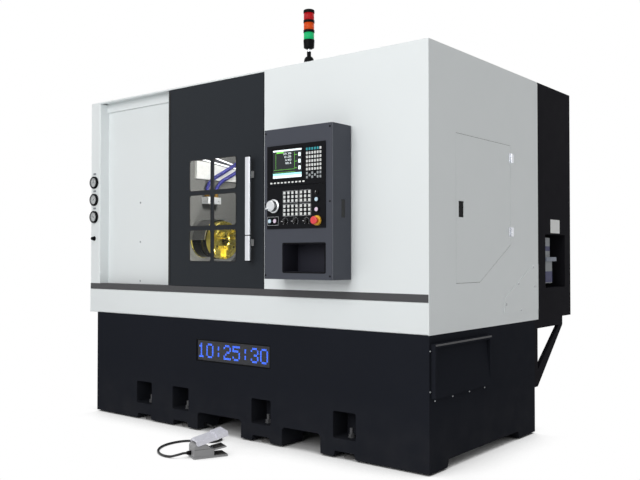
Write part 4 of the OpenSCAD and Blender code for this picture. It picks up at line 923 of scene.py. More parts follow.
def piece(name: str, surface: Surface, finish: Finish, body: str = ROOT,
          crease: float = 35.0) -> bpy.types.Object:
    """Make a skin into a piece that rides on a body.

    Args:
        name: the piece's name.
        surface: its skin in the part's frame.
        finish: what it is made of.
        body: the body that it moves with.
        crease: the angle in degrees past which an edge stays sharp.

    Returns:
        The piece's object.
    """
    mesh = bpy.data.meshes.new(name)
    mesh.from_pydata(surface.points, [], [row for faces in surface.faces for row in faces.tolist()])
    shell = bmesh.new()
    shell.from_mesh(mesh)
    bmesh.ops.remove_doubles(shell, verts=shell.verts, dist=1e-7)
    bmesh.ops.recalc_face_normals(shell, faces=shell.faces)
    shell.to_mesh(mesh)
    shell.free()
    mesh.polygons.foreach_set("use_smooth", np.ones(len(mesh.polygons), dtype=bool))
    mesh.set_sharp_from_angle(angle=math.radians(crease))
    mesh.materials.append(finish.material())
    made = placed(name, mesh)
    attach(made, body)
    log.info("%s: %d faces on %s", name, len(mesh.polygons), body)
    return made


def screw_head(radius: float, height: float) -> Surface:
    """A pan head with a socket: a low dome with a flat-bottomed hole in its middle."""
    shares = [(0, 0.35), (0.45, 0.35), (0.5, 0.95), (0.78, 1), (0.96, 0.62), (1, 0), (0, 0)]
    return revolved(np.array(shares) * [radius, height], sides=18)


def tick_arc(count: int, length: float, width: float, thick: float, reach: float) -> Surface:
    """Radial strips on an arc of 270 degrees that is open at the bottom.

    Args:
        count: number of strips.
        length: a strip's length.
        width: a strip's width.
        thick: a strip's thickness.
        reach: distance from the arc's centre to a strip's middle.

    Returns:
        The strips about the origin.
    """
    turns = np.radians(np.linspace(225, -45, count))
    return slab((length, width, thick)).moved((reach, 0, 0)).spun(turns)


def key_grid(columns: int, rows: int, start: Pair, pitch: Pair) -> Array:
    """Middles of keys in even rows.

    Args:
        columns: number of keys in a row.
        rows: number of rows.
        start: the lowest left key's middle.
        pitch: distances between columns and between rows.

    Returns:
        An array of rows by columns by two lengths.
    """
    c, r = np.meshgrid(np.arange(columns), np.arange(rows))
    return np.stack([start[0] + c * pitch[0], start[1] + r * pitch[1]], axis=-1)


# Sub-assemblies


@dataclass
class Covers:
    """Screws, seams and trim on the sheet-metal covers."""

    screw: Pair = (0.0065, 0.004)
    left_panel_y: float = 0.076
    left_panel_screws: tuple[Pair, ...] = ((-0.920, 0.903), (-0.920, 1.165), (-0.920, 1.429))
    service_screws: tuple[Pair, ...] = (
        (1.205, 1.002), (1.002, 0.909), (1.226, 0.887), (0.840, 0.795), (1.036, 0.752))
    service_proud: float = 0.0032
    seam_w: float = 0.004
    seam_t: float = 0.0006
    end_seam_y: float = 0.645
    end_screw_y: tuple[float, ...] = (0.09, 0.615, 0.675, 1.25)
    end_margin: float = 0.08
    end_rows: int = 6
    rear_seams: Pair = (-0.75, -0.14)
    rear_edges: Pair = (LEFT_X + 0.03, 0.42)
    rear_margin: float = 0.06
    rear_rows: int = 7
    strip_w: float = 0.05
    strip_t: float = 0.003
    strip_gap: float = 0.02
    side_door_lines: tuple[tuple[Pair, Pair], ...] = (
        ((0.271, 1.705), (0.904, 1.705)), ((0.271, 0.929), (0.529, 0.929)),
        ((0.5314, 0.9296), (0.9037, 1.1322)))
    # dark strips painted as shadow in the side door's gap
    side_shadow_w: float = 0.0015
    side_shadow_t: float = 0.0016
    side_sheet: float = 0.003

    def screws(self, places: Places, side: Side, origin: Array) -> Surface:
        """A screw at each place on one side of the machine."""
        return screw_head(*self.screw).at(places).facing(side, origin)

    def build(self) -> None:
        """Make the screws, the seams and the painted shadow in the side door's gap."""
        self.build_side_gap_shadows()
        left = self.screws(self.left_panel_screws, Side.FRONT, spot(0, self.left_panel_y, 0))
        piece("left_panel_screws", left, Coat.zinc)
        cover = self.screws(self.service_screws, Side.RIGHT, spot(RIGHT_X + self.service_proud, 0, 0))
        piece("service_cover_screws", cover, Coat.zinc)
        self.build_rear()
        self.build_end()

    def build_side_gap_shadows(self) -> None:
        """Painted shadow: dark strips in the side door's gap, along its top, its foot and its slanted corner,
        where the gap lies in shade.
        """
        seals = []
        for start, end in np.array(self.side_door_lines):
            way = end - start
            length = np.linalg.norm(way)
            across = np.array([-way[1], way[0]]) / length
            outline = rectangle(length, self.side_shadow_w) @ np.stack([way / length, across])
            seals.append(plate((start + end) / 2 + outline, self.side_shadow_t))
        origin = spot(RIGHT_X - self.side_sheet, 0, 0)
        piece("side_door_gap_shadows", joined(seals).facing(Side.RIGHT, origin), Coat.rubber)

    def build_rear(self) -> None:
        """Strips over the rear panel's joints, and columns of screws down the strips and the edges."""
        bottom, top = low("rear_panel")[2], high("rear_panel")[2]
        strip = slab((self.strip_w, top - bottom - self.strip_gap, self.strip_t), corner=0.004, bevel=0.001)
        strips = strip.at([(-x, (bottom + top) / 2) for x in self.rear_seams])
        piece("rear_joint_strips", strips.facing(Side.BACK, at_depth(BACK_Y)), Coat.white)
        rows = np.linspace(bottom + self.rear_margin, top - self.rear_margin, self.rear_rows)
        first, last = self.rear_edges
        columns = [(first, 0.0), *((x, self.strip_t) for x in self.rear_seams), (last, 0.0)]
        heads = [self.screws([(-x, z) for z in rows], Side.BACK, at_depth(BACK_Y + lift))
                 for x, lift in columns]
        piece("rear_panel_screws", joined(heads), Coat.zinc)

    def build_end(self) -> None:
        """A joint line and columns of screws on the left end."""
        bottom, top = low("left_end_cover")[2], high("left_end_cover")[2]
        origin = np.array([LEFT_X, FRONT_Y, 0])
        seam = slab((self.seam_w, top - bottom - self.seam_w, self.seam_t))
        seam = seam.moved((-self.end_seam_y, (top + bottom) / 2, 0)).facing(Side.LEFT, origin)
        piece("left_end_joint", seam, Coat.mark_dark)
        rows = np.linspace(bottom + self.end_margin, top - self.end_margin, self.end_rows)
        heads = self.screws([(-y, z) for y in self.end_screw_y for z in rows], Side.LEFT, origin)
        piece("left_end_screws", heads, Coat.zinc)


@dataclass
class SlidingDoor:
    """Gaskets round the panes, the handle's fittings with a painted highlight on its posts, and the door's
    edge seal.
    """

    columns: int = 2
    rows: int = 3
    bar: float = 0.026
    lap: float = 0.0095
    corner: float = 0.016
    bead: float = 0.006
    bead_t: float = 0.0022
    seal_w: float = 0.012
    seal_t: float = 0.003
    seal_gap: float = 0.03
    handle_seam_z: float = 1.186
    handle_t: float = 0.014
    band_proud: float = 0.0016
    cap_h: float = 0.006
    cap_over: float = 0.001
    collar_h: float = 0.005
    post_z: Pair = (1.148, 1.542)
    post: Triple = (0.020, 0.036, 0.0345)
    post_dx: float = -0.004
    highlight_sleeve_t: float = 0.0009
    highlight_sleeve_gap: float = 0.0001

    def pane_middles(self) -> tuple[list[Pair], float, float]:
        """Where the panes' openings lie, and how large they are.

        Returns:
            The middles along X and Z, and an opening's width and height.
        """
        lowest, (whole_w, _, whole_h) = low("door_glass"), size("door_glass")
        width = (whole_w - 2 * self.lap - (self.columns - 1) * self.bar) / self.columns
        height = (whole_h - 2 * self.lap - (self.rows - 1) * self.bar) / self.rows
        middles = [(lowest[0] + self.lap + width / 2 + c * (width + self.bar),
                    lowest[2] + self.lap + height / 2 + r * (height + self.bar))
                   for c in range(self.columns) for r in range(self.rows)]
        return middles, width, height

    def build(self) -> None:
        """Make the door's trim."""
        face = at_depth(low("door_panel")[1])
        middles, width, height = self.pane_middles()
        outer = rounded_outline(width + self.bead, height + self.bead, self.corner + self.bead / 2)
        inner = rounded_outline(width - self.bead / 2, height - self.bead / 2, self.corner - self.bead / 4)
        gasket = band(outer, inner, self.bead_t).at(middles)
        piece("pane_gaskets", gasket.facing(Side.FRONT, face), Coat.rubber, "door")
        self.build_handle(face)
        edge, top, rail = low("door_panel")[0], high("door_panel")[2], high("door_rail")[2]
        strip = slab((self.seal_w, top - rail - self.seal_gap, self.seal_t), corner=0.003, bevel=0.0008)
        seal = strip.moved((edge + self.seal_w, (top + rail) / 2, 0)).facing(Side.FRONT, face)
        piece("door_edge_seal", seal, Coat.rubber, "door")

    def build_handle(self, face: Array) -> None:
        """End caps, the joint's collar, and white sleeves on the posts as a painted highlight of their lit
        sides.

        Args:
            face: a point in the door's front plane.
        """
        lowest, centre_x = low("door_handle"), middle("door_handle")[0]
        wide, thick = size("door_handle")[0], self.handle_t
        outline = rounded_outline(wide + self.band_proud, thick + self.band_proud, 0.0058)
        cap, collar = plate(outline, self.cap_h, 0.001), plate(outline, self.collar_h)
        top, foot = high("door_handle")[2] + self.cap_over - self.cap_h, lowest[2] - self.cap_over
        levels = ((cap, top), (collar, self.handle_seam_z), (cap, foot))
        bands = [part.facing(Side.TOP, np.array([centre_x, lowest[1] + thick / 2, z])) for part, z in levels]
        piece("handle_bands", joined(bands), Coat.black, "door")
        post_w, post_h, post_d = self.post
        # painted highlight: white sleeves round the posts stand in for the light on their sides
        inner = rectangle(post_w + 2 * self.highlight_sleeve_gap, post_h + 2 * self.highlight_sleeve_gap)
        sleeves = band(inset(inner, -self.highlight_sleeve_t), inner, post_d)
        sleeves = sleeves.at([(centre_x + self.post_dx, z) for z in self.post_z])
        piece("post_highlight_sleeves", sleeves.facing(Side.FRONT, face), Coat.white_plastic, "door")


@dataclass
class ControlBox:
    """Marks, key caps and trim of the control box."""

    key_t: float = 0.002
    key_caps: tuple[tuple[Triple, float], ...] = (
        ((0.0112, 0.0132, 0.0022), 0.0007), ((0.0140, 0.0140, 0.0024), 0.0007),
        ((0.0140, 0.0080, 0.0020), 0.0006))
    display_start: Pair = (0.280, -0.1805)
    display_pitch: Pair = (0.018, 0.021)
    machine_start: Pair = (0.125, 0.076)
    machine_pitch: Pair = (0.0279, 0.021)
    machine_gap: Pair = (0.0035, 0.008)
    soft_start: Pair = (0.032, -0.200)
    soft_pitch: float = 0.025
    long_stroke: Pair = (0.0050, 0.0011)
    short_stroke: Pair = (0.0028, 0.0009)
    small_print: tuple[Pair, Pair] = ((0.0, 0.0016), (-0.0012, -0.0024))
    large_print: tuple[Pair, Pair] = ((0.0, -0.0012), (0.0, 0.0026))
    print_t: float = 0.0002
    group_reach: float = 0.0105
    power_reach: Pair = (0.021, 0.023)
    line_w: float = 0.0011
    line_t: float = 0.0003
    line_r: float = 0.003
    knob_names: tuple[str, ...] = ("feed_knob", "speed_knob", "mode_knob")
    tick_l: float = 0.005
    tick_r: float = 0.0185
    ticks: int = 11
    knob_pointer: Triple = (0.010, 0.0024, 0.0005)
    knob_pointer_dx: float = -0.0055
    key_pointer: Triple = (0.0024, 0.008, 0.0005)
    key_pointer_dz: float = 0.004
    collar_r: float = 0.0264
    collar_bore: float = 0.0085
    collar_h: float = 0.0083
    screen: Pair = (0.208, 0.159)
    screen_corner: Pair = (0.038, 0.021)
    screen_sink: float = 0.002
    ground_t: float = 0.0008
    ground_gap: float = 0.002
    bezel_w: float = 0.006
    bezel_t: float = 0.0012
    screen_bars: tuple[Field, ...] = (
        (0.200, 0.009, 0, 0.0715), (0.200, 0.014, 0, -0.067), (0.016, 0.020, 0.086, 0.045),
        (0.016, 0.020, 0.086, 0.010), (0.016, 0.020, 0.086, -0.025))
    screen_numbers: tuple[tuple[str, float], ...] = (
        ("125.300", 0.050), ("10.250", 0.033), ("0.000", 0.016), ("300.5", -0.001))
    number_x: float = 0.030
    number_dot: float = 0.0014
    screen_field: Field = (0.200, 0.010, 0, -0.054)
    screen_lines: tuple[Field, ...] = (
        (0.0012, 0.085, -0.080, 0.018), (0.0012, 0.085, 0.052, 0.018), (0.150, 0.0012, -0.020, -0.030),
        (0.150, 0.0012, -0.020, -0.044), (0.050, 0.008, -0.050, 0.062), (0.018, 0.0016, 0.060, 0.045),
        (0.018, 0.0016, 0.060, 0.010), (0.018, 0.0016, 0.060, -0.025))
    wheel_marks: int = 50
    wheel_mark: Triple = (0.0032, 0.0007, 0.0003)
    wheel_mark_r: float = 0.0345
    wheel_proud: float = 0.0094
    pocket_x: Pair = (0.142, 0.048)
    pocket_z: Pair = (0.040, 0.188)
    pocket_d: float = 0.120
    lip_w: float = 0.006
    lip_t: float = 0.002
    lining_t: float = 0.0008
    lining_gap: float = 0.0002
    # size and place of the painted highlight strip by the front-right edge
    edge_w: float = 0.006
    edge_t: float = 0.0008
    highlight_gap: float = 0.004
    screw: Pair = (0.005, 0.003)
    screw_inset: Pair = (0.014, 0.02)
    lid: Triple = (0.030, 0.094, 0.0016)
    lid_place: Triple = (-0.002, 0.094, 0.369)

    def __post_init__(self) -> None:
        """Take the panel's edges from the frame."""
        self.left, self.face = low("display_unit")[:2]
        self.top = high("display_unit")[2]
        self.bottom = low("operator_panel")[2]
        self.front = at_depth(self.face)

    def display_keys(self) -> Array:
        """Middles of the keys beside the screen, as 8 rows of 6."""
        x, z = self.display_start
        return key_grid(6, 8, (self.left + x, self.top + z), self.display_pitch)

    def cursor_keys(self) -> Array:
        """Middles of the cursor keys: four in each of the two lowest rows, and two halfway between."""
        rows = self.display_keys()[:2]
        return np.concatenate([rows[:, [0, 2, 4, 5]].reshape(-1, 2), rows[:, [1, 3]].mean(axis=0)])

    def machine_keys(self) -> Array:
        """Middles of the machine keys, as 6 rows of 7, with a gap after column four and row three.

        Returns:
            An array of rows by columns by two lengths.
        """
        x, z = self.machine_start
        keys = key_grid(7, 6, (self.left + x, self.bottom + z), self.machine_pitch)
        keys[:, 4:, 0] += self.machine_gap[0]
        keys[3:, :, 1] += self.machine_gap[1]
        return keys

    def soft_keys(self) -> Array:
        """Middles of the row of soft keys under the screen."""
        x, z = self.soft_start
        return key_grid(10, 1, (self.left + x, self.top + z), (self.soft_pitch, 0.0))[0]

    def build(self) -> None:
        """Make everything on the control box."""
        self.build_keys()
        self.build_marks()
        self.build_stop()
        self.build_pointers()
        self.build_screen()
        self.build_wheel()
        self.build_pocket()
        self.build_housing()

    def build_keys(self) -> None:
        """Pillow-shaped film keys in their colours, with printed strokes, in the place of the plain pads."""
        keys, machine = self.display_keys(), self.machine_keys().reshape(-1, 2)
        small, large, slim = (slab((wide, tall, self.key_t), corner, bevel)
                              for (wide, tall, corner), bevel in self.key_caps)
        plain = np.concatenate([keys[2:7].reshape(-1, 2), keys[7, 5:]])
        white = joined([small.at(plain), large.at(machine), slim.at(self.soft_keys())])
        made = piece("film_keys", white.facing(Side.FRONT, self.front), Coat.key_white)
        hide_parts("panel_keys")
        teal = small.at(keys[7, :5]).facing(Side.FRONT, self.front)
        piece("display_keys_teal", teal, Coat.key_teal)
        grey = small.at(self.cursor_keys()).facing(Side.FRONT, self.front)
        piece("display_keys_grey", grey, Coat.key_grey)
        prints = [slab((*stroke, self.print_t)) for stroke in (self.long_stroke, self.short_stroke)]
        strokes = joined([stroke.at(places + shift)
                          for places, shifts in ((plain, self.small_print), (machine, self.large_print))
                          for stroke, shift in zip(prints, shifts)])
        key_front = at_depth(self.face - self.key_t)
        piece("key_strokes", strokes.facing(Side.FRONT, key_front), Coat.mark_dark)

    def frame_line(self, first: Array, last: Array) -> Surface:
        """A thin printed frame between two corners.

        Args:
            first: the lower left corner.
            last: the upper right corner.

        Returns:
            The frame in the panel's plane.
        """
        wide, tall = last - first
        outer = rounded_outline(wide, tall, self.line_r)
        inner = rounded_outline(wide - 2 * self.line_w, tall - 2 * self.line_w, self.line_r - self.line_w)
        return band(outer, inner, self.line_t).moved((*(first + last) / 2, 0))

    def build_marks(self) -> None:
        """Frames round the groups of keys, and the ticks round the knobs."""
        keys, reach = self.machine_keys(), self.group_reach
        groups = [(keys[r0, c0], keys[r1, c1]) for r0, r1 in ((0, 2), (3, 5)) for c0, c1 in ((0, 3), (4, 6))]
        frames = [self.frame_line(first - reach, last + reach) for first, last in groups]
        on, off = middle("power_on_button")[[0, 2]], middle("power_off_button")[[0, 2]]
        frames.append(self.frame_line(on - self.power_reach, off + self.power_reach))
        ticks = tick_arc(self.ticks, self.tick_l, self.line_w, self.line_t, self.tick_r)
        rings = ticks.at([middle(name)[[0, 2]] for name in self.knob_names])
        marks = joined([*frames, rings]).facing(Side.FRONT, self.front)
        piece("panel_marks", marks, Coat.mark_white)

    def build_stop(self) -> None:
        """The yellow collar under the emergency stop."""
        foot, bevel = 0.0002, 0.0015
        bore, outer, top = self.collar_bore, self.collar_r, self.collar_h
        profile = [(bore, foot), (outer, foot), (outer, top - bevel), (outer - bevel, top), (bore, top)]
        x, _, z = middle("stop_button")
        ring = revolved(profile, 48, closed=True).facing(Side.FRONT, np.array([x, self.face, z]))
        piece("stop_collar", ring, Coat.stop_yellow)

    def build_pointers(self) -> None:
        """White pointers on the knobs and the key switch, which ride on the bodies of the same names."""
        across = slab(self.knob_pointer, corner=0.001).moved((self.knob_pointer_dx, 0, 0))
        upright = slab(self.key_pointer, corner=0.001).moved((0, self.key_pointer_dz, 0))
        for name in (*self.knob_names, "key_switch"):
            strip = across if name in self.knob_names else upright
            pointer = strip.facing(Side.FRONT, front_middle(name))
            piece(f"{name}_pointer", pointer, Coat.mark_white, name)

    def build_screen(self) -> None:
        """The lit screen in its recess: plain fields of colour and rows of numbers, with a narrow bezel."""
        (wide, tall), (aside, down) = self.screen, self.screen_corner
        x, z = self.left + aside + wide / 2, self.top - down - tall / 2
        centre = np.array([x, self.face + self.screen_sink, z])
        ground = slab((wide - self.ground_gap, tall - self.ground_gap, self.ground_t), corner=0.002)
        piece("screen_ground", ground.facing(Side.FRONT, centre), Coat.picture_dark)
        outer = rounded_outline(wide + 2 * self.bezel_w, tall + 2 * self.bezel_w, 0.005)
        bezel = band(outer, rounded_outline(wide, tall, 0.002), self.bezel_t)
        bezel = bezel.facing(Side.FRONT, centre - at_depth(self.screen_sink))
        piece("screen_bezel", bezel, Coat.black)
        self.build_picture(centre - at_depth(self.ground_t))

    def fields(self, rows: tuple[Field, ...]) -> list[Surface]:
        """A thin plate for each width, height, place across and place up."""
        return [slab((wide, tall, self.print_t)).moved((x, z, 0)) for wide, tall, x, z in rows]

    def build_picture(self, front: Array) -> None:
        """The picture's fields, lines and numbers, each a thin plate on the screen's ground.

        Args:
            front: the middle of the ground's face.
        """
        dot = self.number_dot
        digits = [dot_surface(line, dot, self.print_t).moved(
            (self.number_x - dot * DIGIT_STEP * len(line), z, 0)) for line, z in self.screen_numbers]
        bright = joined(self.fields(self.screen_bars) + digits).facing(Side.FRONT, front)
        piece("screen_numbers", bright, Coat.picture_white)
        field = joined(self.fields((self.screen_field,))).facing(Side.FRONT, front)
        piece("screen_field", field, Coat.picture_cyan)
        lines = joined(self.fields(self.screen_lines)).facing(Side.FRONT, front)
        piece("screen_lines", lines, Coat.picture_green)

    def build_wheel(self) -> None:
        """Graduations on the hand wheel's flange."""
        mark = slab(self.wheel_mark).moved((self.wheel_mark_r, 0, 0))
        x, _, z = middle("hand_wheel")
        marks = mark.spun(round_turns(self.wheel_marks))
        marks = marks.facing(Side.FRONT, np.array([x, self.face - self.wheel_proud, z]))
        piece("hand_wheel_marks", marks, Coat.mark_dark, "hand_wheel")

    def build_pocket(self) -> None:
        """The pocket's lip, and its lining in a paint darker than the box as painted shade in the recess."""
        lowest, highest = low("control_box"), high("control_box")
        first = np.array([lowest[0] + self.pocket_x[0], lowest[2] + self.pocket_z[0]])
        last = np.array([highest[0] - self.pocket_x[1], lowest[2] + self.pocket_z[1]])
        (wide, tall), (x, z) = last - first, (first + last) / 2
        outer = rounded_outline(wide + 2 * self.lip_w, tall + 2 * self.lip_w, 0.008)
        lip = band(outer, rounded_outline(wide, tall, 0.003), self.lip_t)
        piece("pocket_lip", lip.facing(Side.FRONT, np.array([x, lowest[1], z])), Coat.black)
        hole = rectangle(wide - 2 * self.lining_gap, tall - 2 * self.lining_gap)
        lining = joined([plate(hole, self.lining_t), band(hole, inset(hole, self.lining_t), self.pocket_d)])
        floor = np.array([x, lowest[1] + self.pocket_d, z])
        piece("pocket_shade_lining", lining.facing(Side.FRONT, floor), Coat.pocket)

    def build_housing(self) -> None:
        """A lighter strip along the box's front-right edge as a painted highlight of the rounded edge, the
        front cover's screws and the side socket's lid.
        """
        wide, _, tall = size("control_box")
        centre = front_middle("control_box")
        corner = np.array([high("control_box")[0], *low("control_box")[1:]])
        # painted highlight: a lighter strip on the side, next to the front edge
        edge = slab((self.edge_w, tall - self.highlight_gap, self.edge_t), corner=0.0028, bevel=0.0004)
        place = np.array([corner[0], corner[1] + self.highlight_gap, centre[2]])
        piece("control_box_edge_highlight", edge.facing(Side.RIGHT, place), Coat.edge)
        aside, up = wide / 2 - self.screw_inset[0], tall / 2 - self.screw_inset[1]
        heads = screw_head(*self.screw).at([(sx * aside, sz * up) for sx in (-1, 1) for sz in (-1, 0, 1)])
        piece("control_box_screws", heads.facing(Side.FRONT, centre), Coat.black)
        lid = slab(self.lid, corner=0.004, bevel=0.0006).facing(Side.RIGHT, corner + self.lid_place)
        piece("side_socket_lid", lid, Coat.gloss_black)


@dataclass
class Gauges:
    """Dials, needles, glasses and tags of the pressure gauges."""

    x: float = -1.327
    z: Triple = (1.342, 1.462, 1.582)
    needle_turn: Triple = (140.0, 35.0, 75.0)
    dial_r: float = 0.0290
    dial_t: float = 0.0006
    tick_t: float = 0.0003
    tick_inset: float = 0.003
    tick_rows: tuple[tuple[int, float, float], ...] = ((11, 0.006, 0.0014), (51, 0.003, 0.0006))
    needle: tuple[Pair, ...] = ((0.024, 0.0), (-0.007, 0.0022), (-0.007, -0.0022))
    needle_t: float = 0.0012
    needle_lift: float = 0.0004
    hub: tuple[Pair, ...] = ((0, 0.003), (0.003, 0.0026), (0.0035, 0.0))
    glass_t: float = 0.001
    glass_lap: float = 0.0035
    glass_lift: float = 0.0038
    tag: Triple = (0.030, 0.013, 0.0006)
    tag_above: float = 0.060
    proud: float = 0.016
    sink: float = 0.005

    def build(self) -> None:
        """Make the dials, their tags, their marks and their glasses."""
        floor = spot(self.x, -(self.proud - self.sink), 0)
        levels = [(0, z) for z in self.z]
        dial = plate(round_outline(self.dial_r, 48), self.dial_t).at(levels).facing(Side.FRONT, floor)
        piece("gauge_dials", dial, Coat.dial)
        tags = slab(self.tag, corner=0.002).at(levels).moved((0, self.tag_above, 0))
        piece("gauge_tags", tags.facing(Side.FRONT, spot(self.x, 0, 0)), Coat.grey_plastic)
        rim = self.dial_r - self.tick_inset
        ticks = joined([tick_arc(count, length, width, self.tick_t, rim - length / 2)
                        for count, length, width in self.tick_rows]).at(levels)
        needle = plate(np.array(self.needle), self.needle_t)
        needles = [needle.spun(np.radians([turn])).moved((0, z, self.needle_lift))
                   for turn, z in zip(self.needle_turn, self.z)]
        hub = revolved(self.hub, 20).at(levels)
        marks = joined([ticks, *needles, hub]).facing(Side.FRONT, floor - at_depth(self.dial_t))
        piece("gauge_marks", marks, Coat.mark_dark)
        glass = plate(round_outline(self.dial_r + self.glass_lap, 48), self.glass_t).at(levels)
        glass = glass.facing(Side.FRONT, floor - at_depth(self.glass_lift))
        piece("gauge_glasses", glass, Coat.dial_glass)


DIGIT_STEP = 6
DIGIT_ROWS: dict[str, tuple[int, ...]] = {
    "0": (14, 17, 17, 17, 17, 17, 14), "1": (4, 12, 4, 4, 4, 4, 14), "2": (14, 17, 1, 6, 8, 16, 31),
    "3": (14, 17, 1, 6, 1, 17, 14), "5": (31, 16, 30, 1, 1, 17, 14), ":": (0, 4, 4, 0, 4, 4, 0),
    ".": (0, 0, 0, 0, 0, 4, 4),
}


def digit_bits(text: str) -> Array:
    """The dots of a text's digits, as one grid of 7 rows by 5 columns for each."""
    rows = np.array([DIGIT_ROWS[c] for c in text])
    return (rows[:, :, None] >> np.arange(4, -1, -1)) & 1


def dot_surface(text: str, pitch: float, thick: float) -> Surface:
    """A line of digits as square dots.

    Args:
        text: the digits.
        pitch: distance between dots.
        thick: the dots' thickness.

    Returns:
        The dots, with the line's lower left dot at the origin.
    """
    letter, row, column = np.nonzero(digit_bits(text))
    places = np.stack([(letter * DIGIT_STEP + column) * pitch, (6 - row) * pitch], axis=-1)
    return slab((pitch, pitch, thick)).at(places)


@dataclass
class SignBoard:
    """The lit sign in the base's front: a grid of dots that shows a plain clock time."""

    text: str = "10:25:30"
    dots_wide: int = 98
    dots_high: int = 20
    dot: float = 0.0044
    scale: int = 2
    edge_w: float = 0.006
    edge_t: float = 0.005

    def lit(self) -> Array:
        """Which dots are lit: the digits' own bit rows, each bit enlarged to a square of dots.

        Returns:
            An array of rows by columns, true where a dot is lit.
        """
        big = np.kron(digit_bits(self.text), np.ones((1, self.scale, self.scale), dtype=int))
        board = np.zeros((self.dots_high, self.dots_wide), dtype=bool)
        step = DIGIT_STEP * self.scale
        start = (self.dots_wide - step * len(self.text)) // 2
        margin = (self.dots_high - big.shape[1]) // 2
        for index, letter in enumerate(big):
            column = start + index * step
            board[margin:margin + letter.shape[0], column:column + letter.shape[1]] = letter > 0
        return board

    def build(self) -> None:
        """Make the lit dots, the dark dots and the surround."""
        lowest, highest = low("sign_panel"), high("sign_panel")
        wide, _, tall = size("sign_panel")
        board = self.lit()
        row, column = np.indices(board.shape) + 1
        places = np.stack([lowest[0] + column * wide / (self.dots_wide + 1),
                           highest[2] - row * tall / (self.dots_high + 1)], axis=-1)
        bead = revolved([(self.dot / 2, 0), (self.dot / 2.6, 0.0009), (0, 0.0012)], 6)
        kinds = (("sign_lit_dots", board, Coat.dot_lit), ("sign_dark_dots", ~board, Coat.dot_dark))
        for name, mask, finish in kinds:
            dots = bead.at(places[mask]).facing(Side.FRONT, at_depth(lowest[1]))
            piece(name, dots, finish, crease=80)
        outline = rectangle(wide, tall)
        edge = band(outline, inset(outline, self.edge_w), self.edge_t)
        piece("sign_edge", edge.facing(Side.FRONT, front_middle("sign_panel")), Coat.black)


@dataclass
class SignalLamp:
    """Fluted lenses, the bright pole and the foot's flange."""

    flutes: int = 24
    flute: float = 0.0005
    sides: int = 144
    core_r: float = 0.026
    rim: Pair = (0.001, 0.0015)
    pole_bore: float = 0.006
    pole_r: float = 0.0086
    pole_z: float = 0.1021
    pole_h: float = 0.0158
    flange: tuple[Pair, ...] = ((0.0255, 0), (0.034, 0), (0.034, 0.003), (0.032, 0.005), (0.0285, 0.005))

    def lens(self, node: str, finish: Finish, slot: str) -> None:
        """A fluted drum in the place of a plain lens: its radius swells and sinks round the axis.

        Args:
            node: the CAD node that it stands for.
            finish: the lens's colour.
            slot: not used.
        """
        wide, _, tall = size(node)
        radius, (rim_in, rim_h) = wide / 2, self.rim
        turn = round_turns(self.sides)
        wave = radius - self.flute + self.flute * np.cos(self.flutes * turn)
        levels = np.array([0.0, 0.0, rim_h, tall - rim_h, tall, tall])
        core = radius - self.core_r
        reach = wave[None] - np.array([core, rim_in, 0.0, 0.0, rim_in, core])[:, None]
        points = np.stack([reach * np.cos(turn), reach * np.sin(turn),
                           np.broadcast_to(levels[:, None], reach.shape)], axis=-1).reshape(-1, 3)
        skin = Surface(points, [grid_faces(len(levels), self.sides, close_rows=True)])
        place = (*middle(node)[:2], low(node)[2])
        made = piece(f"{node}_fluted", skin.moved(place), finish, crease=60)
        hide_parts(node)

    def build(self) -> None:
        """Make the lenses, the pole's sleeve and the foot's flange."""
        self.lens("lamp_red", Coat.red, "red_lens")
        self.lens("lamp_amber", Coat.amber, "amber_lens")
        self.lens("lamp_green", Coat.green, "green_lens")
        foot = np.array([*middle("lamp_body")[:2], low("lamp_body")[2]])
        bore, outer, tall = self.pole_bore, self.pole_r, self.pole_h
        profile = [(bore, 0), (outer, 0), (outer, tall), (bore, tall)]
        sleeve = revolved(profile, 28, closed=True).moved(foot + [0, 0, self.pole_z])
        piece("lamp_pole_sleeve", sleeve, Coat.chrome)
        flange = revolved(self.flange, 40, closed=True).moved(foot)
        piece("lamp_foot_flange", flange, Coat.black)


